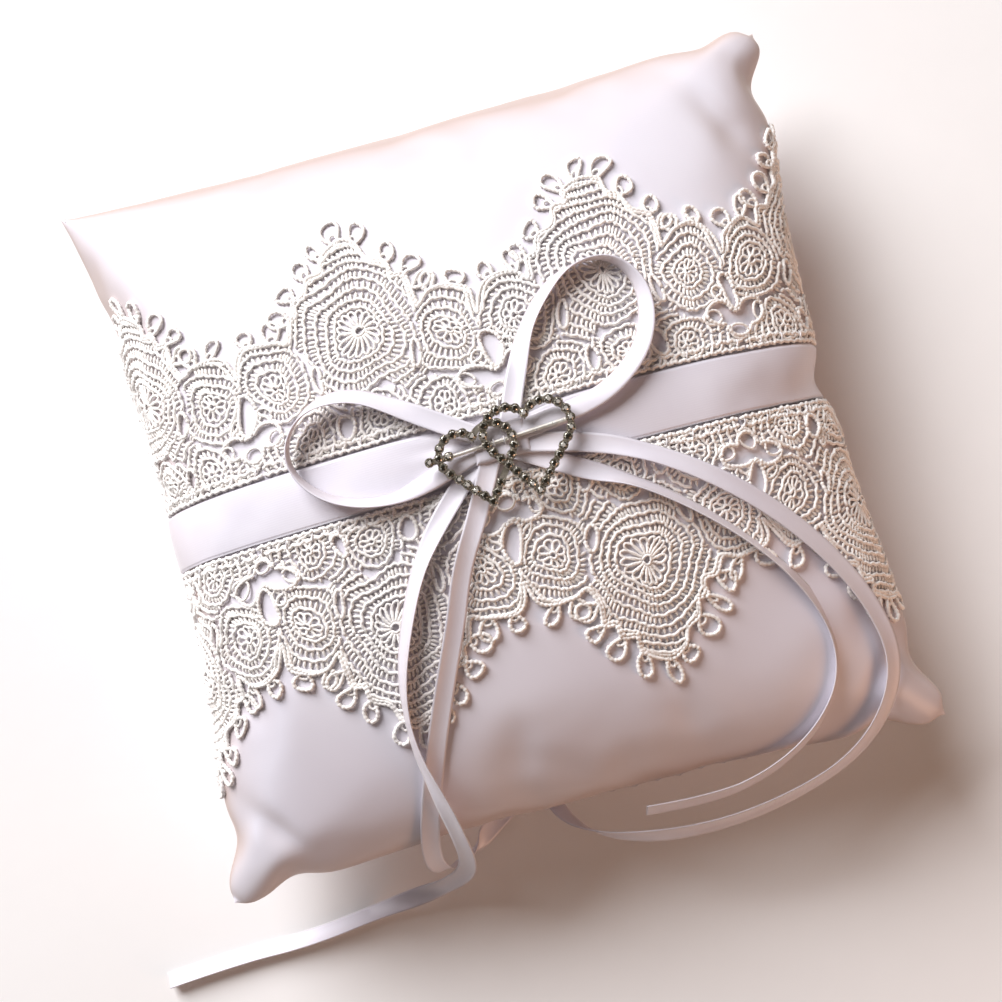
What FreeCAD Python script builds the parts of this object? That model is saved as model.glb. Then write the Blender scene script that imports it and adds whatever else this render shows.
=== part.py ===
import FreeCAD, Part
import math
import os

import Sketcher

# Ring bearer pillow, in millimetres. The pillow lies flat on its back: +Z is up, X runs along
# the centre band and Y towards the pillow's head. The origin is the middle of its footprint.

Vector = FreeCAD.Vector
doc = FreeCAD.newDocument("ring_bearer_pillow")

# ---------------------------------------------------------------- driving sizes
SIZES = {
    "pillow_width": 196.0,  # corner to corner along X, stuffed
    "pillow_length": 194.0,  # corner to corner along Y, stuffed
    "waist_pull_x": 9.5,  # how far stuffing draws each side seam in
    "waist_pull_y": 4.0,  # the same for the head and foot seams
    "crown_rise": 38.0,  # top of the crown above the seam
    "back_drop": 36.0,  # full depth of the back below the seam, before the table flattens it
    "seam_level": 30.0,  # height of the seam above the table
    "satin_thickness": 0.4,
    "seam_allowance": 8.0,
    "seam_turn": 1.0,  # room the turned satin takes inside the seam
    "seam_thread_inset": 0.7,
    "thread_gauge": 0.4,
    "stitch_lift": 0.06,  # air under a stitch that lies on a curved face
    "closing_gap_length": 90.0,  # turning gap in the foot seam, closed by hand
    "closing_stitch_pitch": 6.0,
    "band_width": 15.0,
    "band_waist": 10.0,  # the band drawn together under the bow
    "band_waist_reach": 24.0,  # where it is back at full width
    "band_thickness": 0.4,
    "lace_edge_gap": 0.3,  # between the band's edge and the lace
    "lace_depth": 56.0,  # straight edge to the tips, seen from above
    "lace_pitch": 62.5,
    "upper_lace_phase": -26.7,  # first tip from the middle
    "lower_lace_phase": -35.7,
    "lace_thickness": 1.0,
    "picot_radius": 2.4,
    "picot_hole": 1.1,
    "lace_stitch_pitch": 14.0,
    "lace_stitch_length": 2.2,
    "ribbon_width": 5.0,
    "ribbon_thickness": 0.5,
    "fold_length": 14.0,  # the gathered middle of the bow
    "fold_width": 9.0,
    "fold_height": 3.0,
    "bar_diameter": 1.0,
    "bar_clearance": 0.2,  # bar above the fold
    "bar_length": 31.0,
    "buckle_turn": 3.4,  # the bar's angle to the band, degrees
    "buckle_x": 2.0,
    "buckle_y": 0.2,
    "frame_width": 1.6,
    "frame_thickness": 0.7,
    "large_lobe_radius": 6.1,
    "large_lobe_offset": 4.8,
    "large_tip_depth": 15.6,
    "large_heart_x": 5.2,
    "large_heart_y": 0.7,
    "large_heart_turn": -6.0,
    "small_lobe_radius": 5.3,
    "small_lobe_offset": 4.1,
    "small_tip_depth": 13.4,
    "small_heart_x": -8.2,
    "small_heart_y": -0.4,
    "small_heart_turn": 0.0,
    "stone_diameter": 2.0,
    "stone_height": 1.3,
    "stone_pitch": 2.45,
    "cup_diameter": 2.35,
    "cup_height": 1.2,
    "cup_floor": 0.3,
    "loop_gap": 0.1,  # thread loops around the bar
    "loop_middle": -2.25,  # along the bar, between the two hearts' strokes
    "loop_spacing": 2.7,
}

sheet = doc.addObject("Spreadsheet::Sheet", "Sizes")
for row, (alias, value) in enumerate(SIZES.items(), start=1):
    sheet.set("A%d" % row, alias)
    sheet.set("B%d" % row, str(value))
    sheet.setAlias("B%d" % row, alias)
doc.recompute()


def size(alias):
    """A driving size, read back from the sheet."""
    return float(sheet.get(alias))


parts = []


def keep(obj, name, placement=None):
    """Label one sub-part with its node name and place it."""
    obj.Label = name
    if placement is not None:
        obj.Placement = placement
    parts.append(obj)
    return obj


def feature(name, shape, placement=None):
    """A sub-part whose shape comes from Part's own functions."""
    obj = doc.addObject("Part::Feature", name)
    obj.Shape = shape
    return keep(obj, name, placement or FreeCAD.Placement())


def tool(name, shape):
    """A helper shape that other features cut with or are cut from."""
    obj = doc.addObject("Part::Feature", name)
    obj.Shape = shape
    return obj


# ---------------------------------------------------------------- cushion form
NET = 13  # control points each way over the cushion; odd, so that one lies on the crown
STEP = math.pi / (NET - 1)
SAG = ((2 + math.cos(STEP)) / 3) ** 2  # how far a cubic surface stays under its net


def cushion_face(grow, rise, level):
    """Half of the cushion's skin, from its outline at one level to rise above or below it."""
    half_x = size("pillow_width") / 2 + grow
    half_y = size("pillow_length") / 2 + grow
    poles = []
    for i in range(NET):
        turn_x = -math.pi / 2 + i * STEP
        line = []
        for j in range(NET):
            turn_y = -math.pi / 2 + j * STEP
            u, v = math.sin(turn_x), math.sin(turn_y)
            x = half_x * u - size("waist_pull_x") * u**3 * (1 - v * v)
            y = half_y * v - size("waist_pull_y") * v**3 * (1 - u * u)
            line.append(Vector(x, y, level + rise / SAG * math.cos(turn_x) * math.cos(turn_y)))
        poles.append(line)
    knots = [float(k) for k in range(NET - 2)]
    mults = [4] + [1] * (NET - 4) + [4]
    surface = Part.BSplineSurface()
    surface.buildFromPolesMultsKnots(poles, mults, mults, knots, knots, False, False, 3, 3)
    return surface.toShape()


def half_cushion(grow, rise, level):
    """Half of the cushion as a solid: the crowned face over its flat seam outline."""
    face = cushion_face(grow, rise, level)
    base = Part.Face(Part.Wire(Part.__sortEdges__(face.Edges)))
    shell = Part.makeShell([face, base])
    shell.sewShape()
    solid = Part.makeSolid(shell)
    if solid.Volume < 0:
        solid.reverse()
    return solid


def slab(low, high):
    """Everything between two heights."""
    reach = 2 * (size("pillow_width") + size("pillow_length"))
    return Part.makeBox(reach, reach, high - low, Vector(-reach / 2, -reach / 2, low))


def outline_prism(grow, low, high):
    """The seam's outline, grown or drawn in, as a prism between two heights."""
    face = Part.Face(Part.Wire(Part.__sortEdges__(cushion_face(grow, 1, low).Edges)))
    return face.extrude(Vector(0, 0, high - low))


SEAM = size("seam_level")
SATIN = size("satin_thickness")
SKY = SEAM + 2 * size("crown_rise")
CROWN = SEAM + size("crown_rise")
gauge = size("thread_gauge")

# The filling starts inside the turned seam allowances, so it is drawn in there.
filling_inset = -(SATIN + size("seam_turn"))
front_room = half_cushion(filling_inset, size("crown_rise") - 2 * SATIN, SEAM + SATIN)
back_room = half_cushion(filling_inset, -(size("back_drop") - 2 * SATIN), SEAM - SATIN)
back_room = back_room.common(slab(SATIN, SEAM))
front_outer = half_cushion(0, size("crown_rise"), SEAM)
back_outer = half_cushion(0, -size("back_drop"), SEAM).common(slab(0, SEAM + 1))

allowance_inset = filling_inset - size("seam_allowance")
between_allowances = outline_prism(allowance_inset, SEAM - SATIN, SEAM + SATIN)
thread_inset = -size("seam_thread_inset")
seam_ring = outline_prism(thread_inset, SEAM - gauge / 2, SEAM + gauge / 2)
seam_ring = seam_ring.cut(outline_prism(thread_inset - gauge, SEAM - gauge, SEAM + gauge))

opening = outline_prism(allowance_inset, SEAM - 2 * SATIN, SEAM + 2 * SATIN)
feature("front_cover_panel", front_outer.cut(front_room).cut(opening).cut(seam_ring))
feature("back_cover_panel", back_outer.cut(back_room).cut(opening).cut(seam_ring))
feature("fibre_filling", front_room.fuse(back_room).fuse(between_allowances))
feature("seam_thread", seam_ring)


def closing_stitches():
    """Short hand stitches just outside the foot seam, over the turning gap."""
    pitch = size("closing_stitch_pitch")
    count = int(size("closing_gap_length") / pitch)
    foot = min(cushion_face(0, 1, SEAM).Edges, key=lambda edge: edge.CenterOfMass.y)
    stitches = []
    for i in range(count):
        x = (i - (count - 1) / 2) * pitch
        probe = Part.makeLine(Vector(x, -2 * size("pillow_length"), SEAM), Vector(x, 0, SEAM))
        y = probe.distToShape(foot)[1][0][0].y - gauge / 2 - size("stitch_lift")
        start = Vector(x - pitch / 4, y, SEAM)
        stitches.append(Part.makeCylinder(gauge / 2, pitch / 2, start, Vector(1, 0, 0)))
    return Part.makeCompound(stitches)


feature("closing_stitches", closing_stitches())


# ---------------------------------------------------------------- band and lace
def layer_top(thickness):
    """The front half grown by the thickness of a layer on it."""
    return half_cushion(thickness, size("crown_rise") + thickness, SEAM)


band_layer = layer_top(size("band_thickness")).cut(front_outer)
lace_top = layer_top(size("lace_thickness"))
lace_layer = lace_top.cut(front_outer)


def band_plan():
    """The band from above: full width at the seams, drawn together under the bow."""
    reach = size("pillow_width")
    wide, waist = size("band_width") / 2, size("band_waist") / 2
    start = size("band_waist_reach")
    edges = []
    for side in (1, -1):
        edges.append(Part.makeLine(Vector(-reach, side * wide, 0), Vector(-start, side * wide, 0)))
        curve = Part.BSplineCurve()
        neck = [(-start, wide), (-start / 2, wide), (-start / 2, waist), (0, waist)]
        neck += [(start / 2, waist), (start / 2, wide), (start, wide)]
        curve.buildFromPoles([Vector(x, side * y, 0) for x, y in neck])
        edges.append(curve.toShape())
        edges.append(Part.makeLine(Vector(start, side * wide, 0), Vector(reach, side * wide, 0)))
    for side in (1, -1):
        edges.append(Part.makeLine(Vector(side * reach, -wide, 0), Vector(side * reach, wide, 0)))
    return Part.Face(Part.Wire(Part.__sortEdges__(edges)))


feature("centre_band", band_layer.common(band_plan().extrude(Vector(0, 0, SKY))))


def disc(x, y, radius):
    """A round face in the plan of the lace."""
    return Part.Face(Part.Wire(Part.makeCircle(radius, Vector(x, y, 0))))


# One repeat of the lace from the middle of its peak: lobes as shares of the pitch, the depth
# and the pitch again (x, y, radius), each with the angles of the picots around it.
MIDDLE_LOBES = [(0, 0.36, 0.2, ()), (0, 0.62, 0.17, (20, 160))]
TOP_LOBE_RADIUS = 0.1
TOP_PICOTS = (90, 50, 10, 130, 170)
SIDE_LOBES = [(0.17, 0.5, 0.12, (65, 20)), (0.33, 0.33, 0.13, (105, 60)), (0.46, 0.28, 0.08, ())]
PICOT_SINK = 0.3  # share of a picot's radius that grows out of its lobe
WINDOW = (0.5, 0.27)  # four-leaved opening on the valley's axis
WINDOW_LEAF = 0.04
BASE_STRIP = 0.38


def lobe(middle, side, x, y, radius, picot_angles):
    """One round lobe with its picots: the faces to join and the holes to cut."""
    picot, hole = size("picot_radius"), size("picot_hole")
    bodies, holes = [disc(middle + side * x, y, radius)], []
    for angle in picot_angles:
        reach = radius + picot * (1 - PICOT_SINK)
        out_x = middle + side * (x + reach * math.cos(math.radians(angle)))
        out_y = y + reach * math.sin(math.radians(angle))
        bodies.append(disc(out_x, out_y, picot))
        holes.append(disc(out_x, out_y, hole))
    return bodies, holes


def lace_plan(phase):
    """The lace from above, straight edge along Y = 0: base strip, lobes, picots, windows."""
    pitch, depth = size("lace_pitch"), size("lace_depth")
    reach = size("pillow_width") / 2
    top = TOP_LOBE_RADIUS * pitch
    top_y = depth - top - size("picot_radius") * (2 - PICOT_SINK)
    strip = Part.makePlane(2 * reach, BASE_STRIP * depth, Vector(-reach, 0, 0))
    bodies, holes = [], []
    first = -math.ceil((reach + phase) / pitch)
    last = math.ceil((reach - phase) / pitch)
    for repeat in range(first, last + 1):
        middle = phase + repeat * pitch
        lobes = [(1, 0, top_y, top, TOP_PICOTS)]
        for x, y, radius, angles in MIDDLE_LOBES:
            lobes.append((1, x * pitch, y * depth, radius * pitch, angles))
        for x, y, radius, angles in SIDE_LOBES:
            for side in (1, -1):
                lobes.append((side, x * pitch, y * depth, radius * pitch, angles))
        for side, x, y, radius, angles in lobes:
            new_bodies, new_holes = lobe(middle, side, x, y, radius, angles)
            bodies += new_bodies
            holes += new_holes
        x, y = middle + WINDOW[0] * pitch, WINDOW[1] * depth
        leaf = WINDOW_LEAF * pitch
        for dx, dy in ((leaf, 0), (-leaf, 0), (0, leaf), (0, -leaf)):
            holes.append(disc(x + dx, y + dy, leaf))
    frame = Part.makePlane(2 * reach, 2 * depth, Vector(-reach, 0, 0))
    plan = strip.multiFuse(bodies).common(frame).cut(Part.makeCompound(holes))
    return Part.makeShell(plan.Faces).removeSplitter()


def lace_trim(phase, side):
    """One trim laid over the crown, its straight edge beside the band."""
    prism = lace_plan(phase).extrude(Vector(0, 0, SKY))
    if side < 0:
        prism = prism.mirror(Vector(0, 0, 0), Vector(0, 1, 0))
    prism.translate(Vector(0, side * (size("band_width") / 2 + size("lace_edge_gap")), 0))
    trim = lace_layer.common(prism)
    return max(trim.Solids, key=lambda solid: solid.Volume)  # crumbs cut off at the seams drop


def surface_height(solid, x, y):
    """The top of a solid over one point of the plan."""
    ray = Part.makeLine(Vector(x, y, SEAM), Vector(x, y, SKY))
    return max(vertex.Z for vertex in ray.common(solid).Vertexes)


def lace_stitches(side):
    """Small stitches over the straight edge of a trim, down to the satin."""
    pitch, length = size("lace_stitch_pitch"), size("lace_stitch_length")
    y = side * (size("band_width") / 2 + size("lace_edge_gap") + length)
    count = int(0.8 * size("pillow_width") / pitch)
    stitches = []
    for i in range(count):
        x = (i - (count - 1) / 2) * pitch
        ends = [Vector(x, y + end * length / 2, 0) for end in (-1, 1)]
        for end in ends:
            end.z = surface_height(lace_top, end.x, end.y) + gauge / 2 + size("stitch_lift")
        near, far = ends
        stitches.append(Part.makeCylinder(gauge / 2, length, near, far - near))
    return Part.makeCompound(stitches)


feature("upper_lace_trim", lace_trim(size("upper_lace_phase"), 1))
feature("lower_lace_trim", lace_trim(size("lower_lace_phase"), -1))
feature("upper_lace_stitches", lace_stitches(1))
feature("lower_lace_stitches", lace_stitches(-1))

# ---------------------------------------------------------------- gathered middle of the bow
FOLD_BASE = CROWN + size("band_thickness")
BAR_LEVEL = FOLD_BASE + size("fold_height") + size("bar_clearance") + size("bar_diameter") / 2
buckle_place = FreeCAD.Placement(
    Vector(size("buckle_x"), size("buckle_y"), BAR_LEVEL),
    FreeCAD.Rotation(Vector(0, 0, 1), size("buckle_turn")),
)


def origin_plane(body, role):
    """One of a body's own base planes."""
    return next(item for item in body.Origin.OriginFeatures if item.Role == role)


def new_sketch(body, name):
    """A sketch on the body's XY plane."""
    sketch = body.newObject("Sketcher::SketchObject", name)
    sketch.AttachmentSupport = (origin_plane(body, "XY_Plane"), [""])
    sketch.MapMode = "FlatFace"
    return sketch


Constraint = Sketcher.Constraint


def pad(body, sketch, name, alias):
    """A pad whose height is a cell of the sheet."""
    made = body.newObject("PartDesign::Pad", name)
    made.Profile = sketch
    made.setExpression("Length", "Sizes.%s" % alias)
    return made


def fold_body():
    """The gathered ribbon as a rounded block, drawn from a dimensioned rectangle."""
    body = doc.addObject("PartDesign::Body", "FoldBody")
    sketch = new_sketch(body, "FoldOutline")
    half_x, half_y = size("fold_length") / 2, size("fold_width") / 2
    corners = [(-half_x, -half_y), (half_x, -half_y), (half_x, half_y), (-half_x, half_y)]
    for i, (x, y) in enumerate(corners):
        to_x, to_y = corners[(i + 1) % 4]
        sketch.addGeometry(Part.LineSegment(Vector(x, y, 0), Vector(to_x, to_y, 0)))
    for i in range(4):
        sketch.addConstraint(Constraint("Coincident", i, 2, (i + 1) % 4, 1))
    for i, kind in enumerate(("Horizontal", "Vertical", "Horizontal", "Vertical")):
        sketch.addConstraint(Constraint(kind, i))
    sketch.addConstraint(Constraint("Symmetric", 0, 1, 1, 2, -1, 1))
    length = sketch.addConstraint(Constraint("DistanceX", 0, 1, 0, 2, 2 * half_x))
    width = sketch.addConstraint(Constraint("DistanceY", 1, 1, 1, 2, 2 * half_y))
    sketch.setExpression("Constraints[%d]" % length, "Sizes.fold_length")
    sketch.setExpression("Constraints[%d]" % width, "Sizes.fold_width")
    block = pad(body, sketch, "FoldBlock", "fold_height")
    doc.recompute()
    rounded = body.newObject("PartDesign::Fillet", "FoldRounding")
    top = [
        "Edge%d" % (i + 1)
        for i, edge in enumerate(block.Shape.Edges)
        if edge.BoundBox.ZMin > size("fold_height") / 2
    ]
    rounded.Base = (block, top)
    rounded.setExpression("Radius", "Sizes.fold_height * 0.4")
    doc.recompute()
    return body


def bar_thread_loops():
    """Thread loops that hold the bar down, spaced along it in the bar's own frame."""
    ring = size("bar_diameter") / 2 + size("loop_gap") + gauge / 2
    loops = []
    for side in (1, -1):
        centre = Vector(size("loop_middle") + side * size("loop_spacing") / 2, 0, 0)
        loops.append(Part.makeTorus(ring, gauge / 2, centre, Vector(1, 0, 0)))
    return Part.makeCompound(loops)


fold = fold_body()
fold.Placement = FreeCAD.Placement(
    Vector(0, size("buckle_y"), FOLD_BASE), FreeCAD.Rotation()
)
thread_loops = feature("buckle_thread", bar_thread_loops(), buckle_place)
fold_cut = doc.addObject("Part::Cut", "FoldCut")
fold_cut.Base = fold
fold_cut.Tool = thread_loops
keep(fold_cut, "bow_centre_fold")


def tack_thread():
    """Two bar tacks over the ends of the fold."""
    tacks = []
    for side in (1, -1):
        x = side * (size("fold_length") / 2 + gauge / 2)
        start = Vector(x, size("buckle_y") - size("fold_width") / 4, FOLD_BASE + gauge / 2)
        tacks.append(Part.makeCylinder(gauge / 2, size("fold_width") / 2, start, Vector(0, 1, 0)))
    return Part.makeCompound(tacks)


feature("bow_tack_thread", tack_thread())

# ---------------------------------------------------------------- double heart buckle
# Drawn in the bar's own frame: the bar lies along X through the origin, frames rest on it.
FRAME_BASE = size("bar_diameter") / 2


class Heart:
    """One heart: two round lobes and two straight sides that meet in a tip."""

    def __init__(self, prefix):
        self.prefix = prefix
        self.radius = size(prefix + "_lobe_radius")
        self.offset = size(prefix + "_lobe_offset")
        self.tip = size(prefix + "_tip_depth")
        self.place = FreeCAD.Placement(
            Vector(size(prefix + "_heart_x"), size(prefix + "_heart_y"), FRAME_BASE),
            FreeCAD.Rotation(Vector(0, 0, 1), size(prefix + "_heart_turn")),
        )

    def outline(self, grow):
        """Lobe radius, right tangent point, notch and tip of the heart drawn out by grow."""
        radius = self.radius + grow
        reach = math.hypot(self.offset, self.tip)
        lean = math.asin(self.radius / reach) + math.atan2(self.offset, self.tip)
        tip = self.tip + grow / math.sin(lean)
        touch = Vector(self.offset + radius * math.cos(lean), -radius * math.sin(lean), 0)
        notch = Vector(0, math.sqrt(radius**2 - self.offset**2), 0)
        return radius, touch, notch, Vector(0, -tip, 0)

    def edges(self, grow):
        """The closed outline, clockwise from the notch: right lobe, right side, left side, lobe."""
        radius, touch, notch, tip = self.outline(grow)
        far = Vector(self.offset, radius, 0)
        left = Vector(-touch.x, touch.y, 0)
        return [
            Part.Arc(notch, far, touch),
            Part.LineSegment(touch, tip),
            Part.LineSegment(tip, left),
            Part.Arc(left, Vector(-far.x, far.y, 0), notch),
        ]

    def draw(self, sketch, grow, grow_text):
        """The outline as dimensioned sketch geometry, tied to the sheet."""
        radius = self.outline(grow)[0]
        base = sketch.GeometryCount
        for edge in self.edges(grow):
            sketch.addGeometry(edge)
        for i in range(4):
            near = 2 if self.forward(sketch, base + i, i, grow) else 1
            nxt = (i + 1) % 4
            far = 1 if self.forward(sketch, base + nxt, nxt, grow) else 2
            sketch.addConstraint(Constraint("Coincident", base + i, near, base + nxt, far))
        ring = sketch.addConstraint(Constraint("Radius", base, radius))
        sketch.setExpression(
            "Constraints[%d]" % ring, "Sizes.%s_lobe_radius + %s" % (self.prefix, grow_text)
        )
        right, left, origin, centre = base, base + 3, (-1, 1), 3
        sketch.addConstraint(Constraint("Equal", right, left))
        for near, far in ((origin, (right, centre)), ((left, centre), origin)):
            across = sketch.addConstraint(Constraint("DistanceX", *near, *far, self.offset))
            sketch.setExpression("Constraints[%d]" % across, "Sizes.%s_lobe_offset" % self.prefix)
        for arc in (right, left):
            sketch.addConstraint(Constraint("PointOnObject", arc, centre, -1))

    def forward(self, sketch, index, order, grow):
        """Whether sketch geometry starts where the outline's own edge does."""
        radius, touch, notch, tip = self.outline(grow)
        starts = [notch, touch, tip, Vector(-touch.x, touch.y, 0)]
        return sketch.getPoint(index, 1).distanceToPoint(starts[order]) < radius / 10

    def path(self):
        """The centre line of the stroke as one wire."""
        return Part.Wire([edge.toShape() for edge in self.edges(0)])

    def frame(self):
        """The flat metal stroke as a body, padded between its outer and inner outlines."""
        body = doc.addObject("PartDesign::Body", self.prefix.title() + "HeartBody")
        sketch = new_sketch(body, self.prefix.title() + "HeartOutline")
        half = size("frame_width") / 2
        self.draw(sketch, half, "Sizes.frame_width / 2")
        self.draw(sketch, -half, "-Sizes.frame_width / 2")
        pad(body, sketch, self.prefix.title() + "HeartPad", "frame_thickness")
        body.Placement = self.place
        doc.recompute()
        return body

    def seats(self):
        """Where the stones sit, evenly spaced from the notch, in the bar's frame."""
        wire = self.path()
        count = round(wire.Length / size("stone_pitch"))
        points = wire.discretize(Number=count + 1)[:-1]
        return [self.place.multVec(point) for point in points]


def stone(centre):
    """A faceted stone: pavilion, girdle and table cut on eight sides."""
    radius, height = size("stone_diameter") / 2, size("stone_height")
    rings = ((0.25, 0.0), (1.0, 0.5), (1.0, 0.6), (0.6, 1.0))
    wires = []
    for share, level in rings:
        points = []
        for i in range(8):
            angle = math.pi * (2 * i + 1) / 8
            x, y = radius * share * math.cos(angle), radius * share * math.sin(angle)
            points.append(centre + Vector(x, y, height * level))
        wires.append(Part.makePolygon(points + points[:1]))
    return Part.makeLoft(wires, True, True)


def cup(centre, stone_shape):
    """A round claw cup that the stone drops into."""
    outside = Part.makeCylinder(size("cup_diameter") / 2, size("cup_height"), centre)
    return outside.cut(stone_shape)


def set_stones(prefix, seats):
    """The cups and stones along one heart, as two nodes of separate solids."""
    base = Vector(0, 0, size("frame_thickness"))
    lift = Vector(0, 0, size("cup_floor"))
    stones = [stone(seat + base + lift) for seat in seats]
    cups = [cup(seat + base, shape) for seat, shape in zip(seats, stones)]
    feature(prefix + "_heart_cups", Part.makeCompound(cups), buckle_place)
    feature(prefix + "_heart_stones", Part.makeCompound(stones), buckle_place)


large, small = Heart("large"), Heart("small")
large_seats = large.seats()


def clear_of(seat, others):
    """Whether a cup fits beside all the others."""
    return all(seat.distanceToPoint(other) > size("cup_diameter") for other in others)


# A tab on the small heart's outer side carries two more stones and the end of the bar.
side_x = size("small_heart_x") - size("small_lobe_offset") - size("small_lobe_radius")
tab_seats = [
    Vector(side_x - size("stone_pitch"), 0, FRAME_BASE),
    Vector(side_x + size("stone_pitch"), 0, FRAME_BASE),
]
small_seats = [seat for seat in small.seats() if clear_of(seat, large_seats + tab_seats)]
small_seats += tab_seats

large_frame = large.frame()
small_frame = small.frame()
tab = doc.addObject("Part::Box", "BarTab")
tab.setExpression("Length", "Sizes.stone_pitch * 2 + Sizes.frame_width")
tab.setExpression("Width", "Sizes.frame_width")
tab.setExpression("Height", "Sizes.frame_thickness")
half_tab = size("stone_pitch") + size("frame_width") / 2
tab.Placement.Base = Vector(side_x - half_tab, -size("frame_width") / 2, FRAME_BASE)
with_tab = doc.addObject("Part::Fuse", "SmallFrameWithTab")
with_tab.Base = small_frame
with_tab.Tool = tab
small_cut = doc.addObject("Part::Cut", "SmallFrameCut")
small_cut.Base = with_tab
small_cut.Tool = tool("large_frame_tool", large_frame.Shape)
doc.recompute()
keep(large_frame, "large_heart_frame", buckle_place.multiply(large.place))
keep(small_cut, "small_heart_frame", buckle_place)
set_stones("large", large_seats)
set_stones("small", small_seats)

bar = doc.addObject("Part::Cylinder", "BarCylinder")
bar.setExpression("Radius", "Sizes.bar_diameter / 2")
bar.setExpression("Height", "Sizes.bar_length")
along_bar = FreeCAD.Placement(
    Vector(-size("bar_length") / 2, 0, 0), FreeCAD.Rotation(Vector(0, 1, 0), 90)
)
keep(bar, "buckle_bar", buckle_place.multiply(along_bar))

# ---------------------------------------------------------------- narrow ribbons
# Each ribbon stretch is one open route: points chosen along it, runs joined by tangent arcs.
ROUTES = {
    "bow_loop_left": [
        (-5.5, 3, 71.1), (-21, 13.8, 70.6), (-34, 21.8, 70), (-47, 19.9, 68.5), (-53, 8.9, 67.5),
        (-46, -2.1, 68), (-32, -7.2, 69.6), (-19, -5.2, 70.2), (-5.5, -0.5, 70.5),
    ],
    "bow_loop_right": [
        (3, 3, 69.9), (9, 17.8, 69.6), (16, 29.9, 68.5), (27, 39, 66.8), (39, 39, 65.8),
        (45, 29, 66.3), (42, 15.9, 68), (32, 6.8, 69.8), (20, 2.8, 70.9), (5.5, 1.5, 71.1),
    ],
    "bow_tail_left": [
        (-5.5, -2, 69.3), (-17, -12.2, 69.4), (-27, -24.1, 68.8), (-34, -38, 66.2),
        (-39, -51.8, 62.6), (-40, -66.6, 59), (-37, -81.2, 54.4), (-35, -93.2, 45),
        (-35, -100.6, 32.5), (-39, -104.5, 19), (-48, -107, 7.5), (-63, -109, 1.2),
        (-84, -111.5, 0.8), (-104, -111, 0.8), (-124, -112.5, 0.8),
    ],
    "ring_tie_tail_left": [
        (-3, -2.8, 69.9), (-10, -16.2, 70.1), (-17, -27.2, 69.4), (-22, -40, 67), (-28, -52.8, 63.2),
        (-34, -66.5, 57.6), (-39, -79.1, 50.6), (-43, -90.6, 41.5), (-44, -98.6, 31), (-41, -102, 19),
        (-34, -99, 8.5), (-24, -92, 2.2), (-13, -86, 1),
    ],
    "ring_tie_tail_right": [
        (3.5, -2.8, 69.8), (16, -10.7, 69.4), (29, -17.1, 68.9), (42, -27, 66.6), (54, -38.8, 62.4),
        (64, -51.5, 56.8), (70, -65.2, 51.2), (69, -78, 47.4), (61, -88.7, 42.6), (48, -96.9, 36.4),
        (31, -100.6, 32.6), (13, -98.7, 33.5),
    ],
    "bow_tail_right": [
        (5.5, -1.5, 70.45), (21, -5.2, 70.2), (35, -11.7, 69.4), (49, -21, 66.6), (62, -32.7, 61.6),
        (73, -46.4, 55.8), (81, -61, 50), (84.5, -75.7, 45.2), (80, -88.5, 41), (69, -99, 35.4),
        (53, -105, 29.6), (34, -108, 27), (15, -107, 25.4), (-1, -102.5, 21.5), (-9, -95, 13),
        (-10, -86, 5.5), (-4, -78, 2),
    ],
}


def route_wire(name, points):
    """Straight runs joined by tangent arcs, as large as the shorter run at each turn allows."""
    points = [Vector(*point) for point in points]
    edges, start, radii = [], points[0], []
    for before, corner, after in zip(points, points[1:], points[2:]):
        back, ahead = (before - corner), (after - corner)
        shorter = min(back.Length, ahead.Length)
        back.normalize()
        ahead.normalize()
        half_turn = (math.pi - back.getAngle(ahead)) / 2
        cut_back = 0.45 * shorter
        radius = cut_back / math.tan(half_turn)
        radii.append(round(radius, 1))
        arc_start, arc_end = corner + back * cut_back, corner + ahead * cut_back
        inward = (back + ahead).normalize()
        middle = corner + inward * (radius / math.cos(half_turn) - radius)
        edges.append(Part.LineSegment(start, arc_start).toShape())
        edges.append(Part.Arc(arc_start, middle, arc_end).toShape())
        start = arc_end
    edges.append(Part.LineSegment(start, points[-1]).toShape())
    print(name, "bend radii", radii)
    return Part.Wire(edges)


def ribbon(name, points):
    """A flat ribbon swept along its route with its face kept upwards."""
    wire = route_wire(name, points)
    ahead = (Vector(*points[1]) - Vector(*points[0])).normalize()
    across = ahead.cross(Vector(0, 0, 1)).normalize()
    upward = across.cross(ahead)
    half_width, half_thick = size("ribbon_width") / 2, size("ribbon_thickness") / 2
    corners = []
    for side, level in ((1, 1), (-1, 1), (-1, -1), (1, -1)):
        offset = across * (side * half_width) + upward * (level * half_thick)
        corners.append(Vector(*points[0]) + offset)
    sweep = Part.BRepOffsetAPI.MakePipeShell(wire)
    sweep.setBiNormalMode(Vector(0, 0, 1))
    sweep.add(Part.makePolygon(corners + corners[:1]))
    sweep.build()
    sweep.makeSolid()
    shape = sweep.shape()
    section = size("ribbon_width") * size("ribbon_thickness")
    print(name, "length", round(wire.Length, 1), "volume ratio", shape.Volume / wire.Length / section)
    return feature(name, shape)


for name, points in ROUTES.items():
    ribbon(name, points)

# ---------------------------------------------------------------- checks and files
doc.recompute()
for obj in doc.Objects:
    if "Invalid" in obj.State or "Error" in obj.State:
        raise RuntimeError("%s did not build: %s" % (obj.Label, obj.State))
for obj in parts:
    if obj.Shape.isNull() or not obj.Shape.isValid() or obj.Shape.Volume <= 0:
        raise RuntimeError("%s has no sound shape" % obj.Label)

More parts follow.
